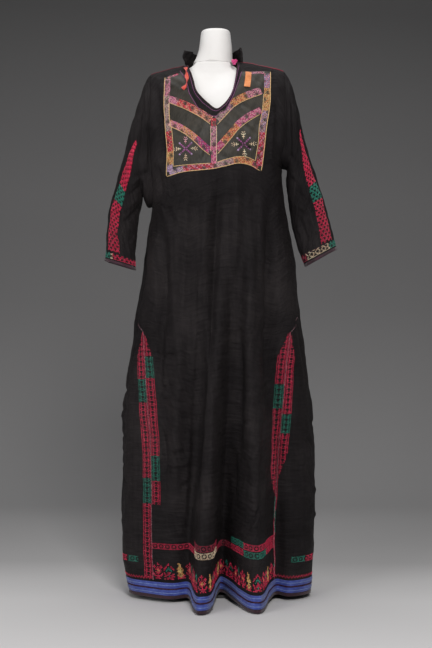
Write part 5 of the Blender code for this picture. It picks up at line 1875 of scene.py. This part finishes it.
def bound_edge(name, edge, out, down, drop, node):
    """A folded strip that hangs from an edge: outside, round the bottom and up inside."""
    flat = unit(out * (1.0, 1.0, 0.0))
    rows = []
    for depth, reach in ((0.0, 0.0006), (0.35, 0.0012), (0.75, 0.0013), (1.0, 0.0004), (1.0, -0.0014),
                         (0.75, -0.0022), (0.35, -0.0022), (0.0, -0.0020)):
        rows.append(edge + down * (SEAM + (drop - SEAM) * depth) + flat * reach)
    rows = np.array(rows)
    count = rows.shape[1]
    i, j = np.meshgrid(np.arange(len(rows)), np.arange(count), indexing="ij")
    k, after = (j + 1) % count, (i + 1) % len(rows)
    quads = np.stack((i * count + j, after * count + j, after * count + k, i * count + k), -1)
    quads = quads.reshape(-1, 4)
    length = run_lengths(np.concatenate((edge, edge[:1]))[None], 1)[0]
    u = np.stack((length[j], length[j], length[j + 1], length[j + 1]), -1)
    v = np.stack((i * 0.002, i * 0.002 + 0.002, i * 0.002 + 0.002, i * 0.002), -1)
    uv = np.stack((u, v), -1).reshape(-1, 4, 2)
    flat_points = rows.reshape(-1, 3)
    first = flat_points[quads[:, 1]] - flat_points[quads[:, 0]]
    second = flat_points[quads[:, 3]] - flat_points[quads[:, 0]]
    outside = np.concatenate([flat if row < 3 else -flat for row in range(len(rows))])
    if (np.cross(first, second) * outside).sum() < 0:
        quads, uv = quads[:, ::-1], uv[:, ::-1]
    piece = add_mesh(name, flat_points, quads.tolist(), MAROON, uv)
    piece.data.set_sharp_from_angle(angle=math.radians(70))
    register(piece, [node])
    return piece


make_tapes()
hem_edge, hem_out = around_hem(0.0, 0.0, 1, np.zeros(1))
bound_edge("hem_binding", hem_edge[0], hem_out[0], np.array((0.0, 0.0, -1.0)), EDGING_DROP,
           "hem_edging")
for hand, name in ((-1, "left"), (1, "right")):
    grid, out = SLEEVES[hand]
    below = unit(grid[-1] - grid[-3])
    bound_edge("cuff_binding_" + name, grid[-1], out[-1], below, CUFF_DROP, "cuff_edging_" + name)

# %% [markdown]
# ## The ties
#
# Two ties once closed the neck.  The left one is a narrow twisted strip, the right one a flat orange
# tape, and a bright pink knot sits in the right end of the collar.

# %% Ties
def flat_tie(name, line, width, twist, material, node):
    """A short hanging strip: its middle line seen from the front, its width and its twist."""
    places, ways, share = line_points(line, 0.0016)
    lift = PANEL_LIFT + 0.0030 + 0.0012 * np.sin(share * 7.0)
    middle, out = place_on_front(places[:, 0], places[:, 1], lift)
    ahead = unit(np.gradient(middle, axis=0))
    aside = unit(np.cross(ahead, out))
    steps = np.linspace(-0.5, 0.5, 9)
    angle = share * twist + 0.15 * np.sin(share * 5.0)
    across = aside * np.cos(angle)[:, None] + out * np.sin(angle)[:, None]
    grid = middle[:, None] + across[:, None] * (steps[None, :, None] * width)
    grid = grid + out[:, None] * (0.0006 * np.cos(steps * np.pi))[None, :, None]
    facing = unit(np.cross(across, ahead))
    facing = np.broadcast_to(facing[:, None], grid.shape)
    piece = wall(name, grid, facing, 0.0010, material)
    return register(piece, [node], grid)


flat_tie("tie_left", [(-0.0800, 1.406), (-0.0780, 1.388), (-0.0760, 1.370), (-0.0800, 1.352),
                      (-0.0860, 1.340)], 0.0101, 7.4, RED_TIE, "tie_tab_left")
flat_tie("tie_right", [(0.0855, 1.3920), (0.0840, 1.370), (0.0805, 1.347)], 0.0160, 0.0, ORANGE,
         "tie_tab_right")


# %% Knot
def make_knot():
    """A small hard knot of twisted cotton: a cord that passes round itself."""
    low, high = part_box("tie_knot")
    middle = np.array((low + high) / 2) - SHIFT
    half = np.array((high - low) / 2)
    t = np.linspace(0.0, 2 * np.pi, 90, endpoint=False)
    path = np.stack((np.sin(t) + 2 * np.sin(2 * t), 0.9 * np.sin(3 * t),
                     np.cos(t) - 2 * np.cos(2 * t)), -1) / 3.0
    places = middle + path * half * (0.70, 0.62, 0.70)
    ring_points = np.concatenate((places, places[:1]))
    out = unit(ring_points - middle)
    return join_cords("neck_knot", [(*cord_tube(ring_points, out, half[0] * 0.36, twist=0.35),
                                     np.array(THREADS["pink"]))], PINK)


knot = make_knot()
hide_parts("tie_knot")

# %% [markdown]
# ## The dress form
#
# The form is a moulded shell with a separate neck block.  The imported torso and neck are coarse, but
# their sizes are right, so each is copied, its loose triangles are merged and paired into quads, and
# a Subdivision Surface modifier rounds it.  The steel pole and plate stay as they are, repainted.

# %% Torso and neck
def smoothed_copy(node, name, levels):
    """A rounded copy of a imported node."""
    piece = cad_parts[node].copy()
    piece.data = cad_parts[node].data.copy()
    piece.name = name
    for key in list(piece.keys()):
        del piece[key]
    piece.parent = None
    bpy.context.scene.collection.objects.link(piece)
    piece.hide_render = False
    edit_alone(piece)
    bpy.ops.mesh.remove_doubles(threshold=0.00005)
    bpy.ops.mesh.dissolve_limited(angle_limit=math.radians(0.6))
    bpy.ops.mesh.tris_convert_to_quads()
    bpy.ops.mesh.select_all(action="DESELECT")
    bpy.ops.mesh.edges_select_sharp(sharpness=math.radians(62))
    bpy.ops.transform.edge_crease(value=1.0)
    bpy.ops.object.mode_set(mode="OBJECT")
    rounder = piece.modifiers.new("round", "SUBSURF")
    rounder.levels = rounder.render_levels = levels
    bpy.ops.object.modifier_apply(modifier="round")
    bpy.ops.object.shade_smooth()
    piece.select_set(False)
    piece.data.materials.clear()
    piece.data.materials.append(PAINT)
    register(piece, [node])
    print(name, len(piece.data.polygons), "faces")
    return piece


smoothed_copy("form_torso", "form_torso_shell", 2)
smoothed_copy("form_neck", "form_neck_block", 3)
for node in ("form_pole", "form_plate"):
    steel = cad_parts[node]
    steel.data.materials.clear()
    steel.data.materials.append(STEEL)

# %% [markdown]
# ## Floor, backdrop, light and camera
#
# A pale floor meets a grey backdrop in a wide curve, as in a photographer's studio.  Its grey is
# painted shade: darker further back and higher up, and a little to the right, as the light falls off.
# One large soft light stands high in front, a weaker one on the left, and one hangs overhead.  The
# paper is clear from behind, so that the dress can be seen from all sides.

# %% Stage
def make_stage():
    """A floor that curves up into a backdrop, its grey painted darker further back and higher up as
    painted shade.
    """
    profile = [(-6.0, 0.0), (1.6, 0.0)]
    for step in range(1, 13):
        angle = step / 12 * math.pi / 2
        profile.append((1.6 + 1.2 * math.sin(angle), 1.2 - 1.2 * math.cos(angle)))
    profile.append((2.8, 4.5))
    bpy.ops.mesh.primitive_plane_add(size=1.0)
    floor = bpy.context.object
    floor.name = "studio_floor"
    points = [(x, y, z) for y, z in profile for x in (-6.0, 6.0)]
    faces = [(2 * k, 2 * k + 1, 2 * k + 3, 2 * k + 2) for k in range(len(profile) - 1)]
    mesh = bpy.data.meshes.new("studio_floor")
    mesh.from_pydata(points, [], faces)
    mesh.shade_smooth()
    floor.data = mesh
    material, tree, shader = start_material("studio_paper_painted_shade", (0.40, 0.40, 0.40), 0.9, 0.0, 0.2)
    place = tree.nodes.new("ShaderNodeTexCoord")
    parts = tree.nodes.new("ShaderNodeSeparateXYZ")
    tree.links.new(place.outputs["Object"], parts.inputs["Vector"])
    # Painted shade: the paper's grey falls from 0.66 in front to 0.08 high on the backdrop, and a little
    # towards the right, as light falls off in a studio.
    slant = combine(tree, "ADD", combine(tree, "MULTIPLY", parts.outputs["X"], 0.03),
                    combine(tree, "ADD", parts.outputs["Y"], parts.outputs["Z"]))
    far = combine(tree, "MULTIPLY", combine(tree, "ADD", slant, 0.5), 0.17)
    painted_falloff_greys = ((0.00, 0.66), (0.075, 0.63), (0.12, 0.54), (0.165, 0.40), (0.225, 0.37), (0.30, 0.35),
             (0.39, 0.31), (0.53, 0.25), (0.69, 0.18), (0.79, 0.158), (0.875, 0.120), (0.95, 0.082))
    tree.links.new(ramp(tree, far, [(place, (grey, grey * 0.985, grey * 0.99))
                                    for place, grey in painted_falloff_greys]), shader.inputs["Base Color"])
    facing = tree.nodes.new("ShaderNodeNewGeometry")
    clear = tree.nodes.new("ShaderNodeBsdfTransparent")
    either = tree.nodes.new("ShaderNodeMixShader")
    sheet_end = next(node for node in tree.nodes if node.type == "OUTPUT_MATERIAL")
    tree.links.new(facing.outputs["Backfacing"], either.inputs[0])
    tree.links.new(shader.outputs[0], either.inputs[1])
    tree.links.new(clear.outputs[0], either.inputs[2])
    tree.links.new(either.outputs[0], sheet_end.inputs["Surface"])
    mesh.materials.append(material)
    floor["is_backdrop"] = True
    floor.select_set(False)


def add_light(name, place, target, size, power, colour=(1.0, 1.0, 1.0)):
    """A soft box that looks at a point."""
    light = bpy.data.lights.new(name, "AREA")
    light.shape = "RECTANGLE"
    light.size, light.size_y = size
    light.energy = power
    light.color = colour
    lamp = bpy.data.objects.new(name, light)
    lamp.location = place
    direction = np.array(target) - np.array(place)
    lamp.rotation_mode = "QUATERNION"
    from mathutils import Vector
    lamp.rotation_quaternion = Vector(direction).to_track_quat("-Z", "Y")
    bpy.context.scene.collection.objects.link(lamp)


make_stage()
CHEST = (0.0, 0.0, 0.95)
add_light("key", (0.5, -3.5, 2.7), CHEST, (1.0, 1.0), 102.0, (1.0, 0.985, 0.97))
add_light("fill", (-2.3, -2.9, 1.6), CHEST, (1.4, 1.8), 42.0)
add_light("top", (0.0, 0.2, 3.4), (0.0, 0.1, 0.0), (2.0, 1.6), 36.0)
world = bpy.context.scene.world or bpy.data.worlds.new("studio")
bpy.context.scene.world = world
world.use_nodes = True
world.node_tree.nodes["Background"].inputs["Color"].default_value = (0.9, 0.92, 0.95, 1.0)
world.node_tree.nodes["Background"].inputs["Strength"].default_value = 0.11

# %% Camera
bpy.context.scene.view_settings.view_transform = "Standard"
CAMERA_DISTANCE, CAMERA_HEIGHT, CAMERA_LENS = 3.3, 0.728, 68.28
camera = bpy.data.objects.new("camera", bpy.data.cameras.new("camera"))
camera.data.sensor_width = 36.0
camera.data.lens = CAMERA_LENS
camera.location = (SHIFT[0], SHIFT[1] - CAMERA_DISTANCE, CAMERA_HEIGHT)
camera.rotation_euler = (math.pi / 2, 0.0, 0.0)
bpy.context.scene.collection.objects.link(camera)
bpy.context.scene.camera = camera

# %% Sizes and the end
total = sum(sum(len(face.vertices) - 2 for face in piece.data.polygons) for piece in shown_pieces())
print("triangles:", total)
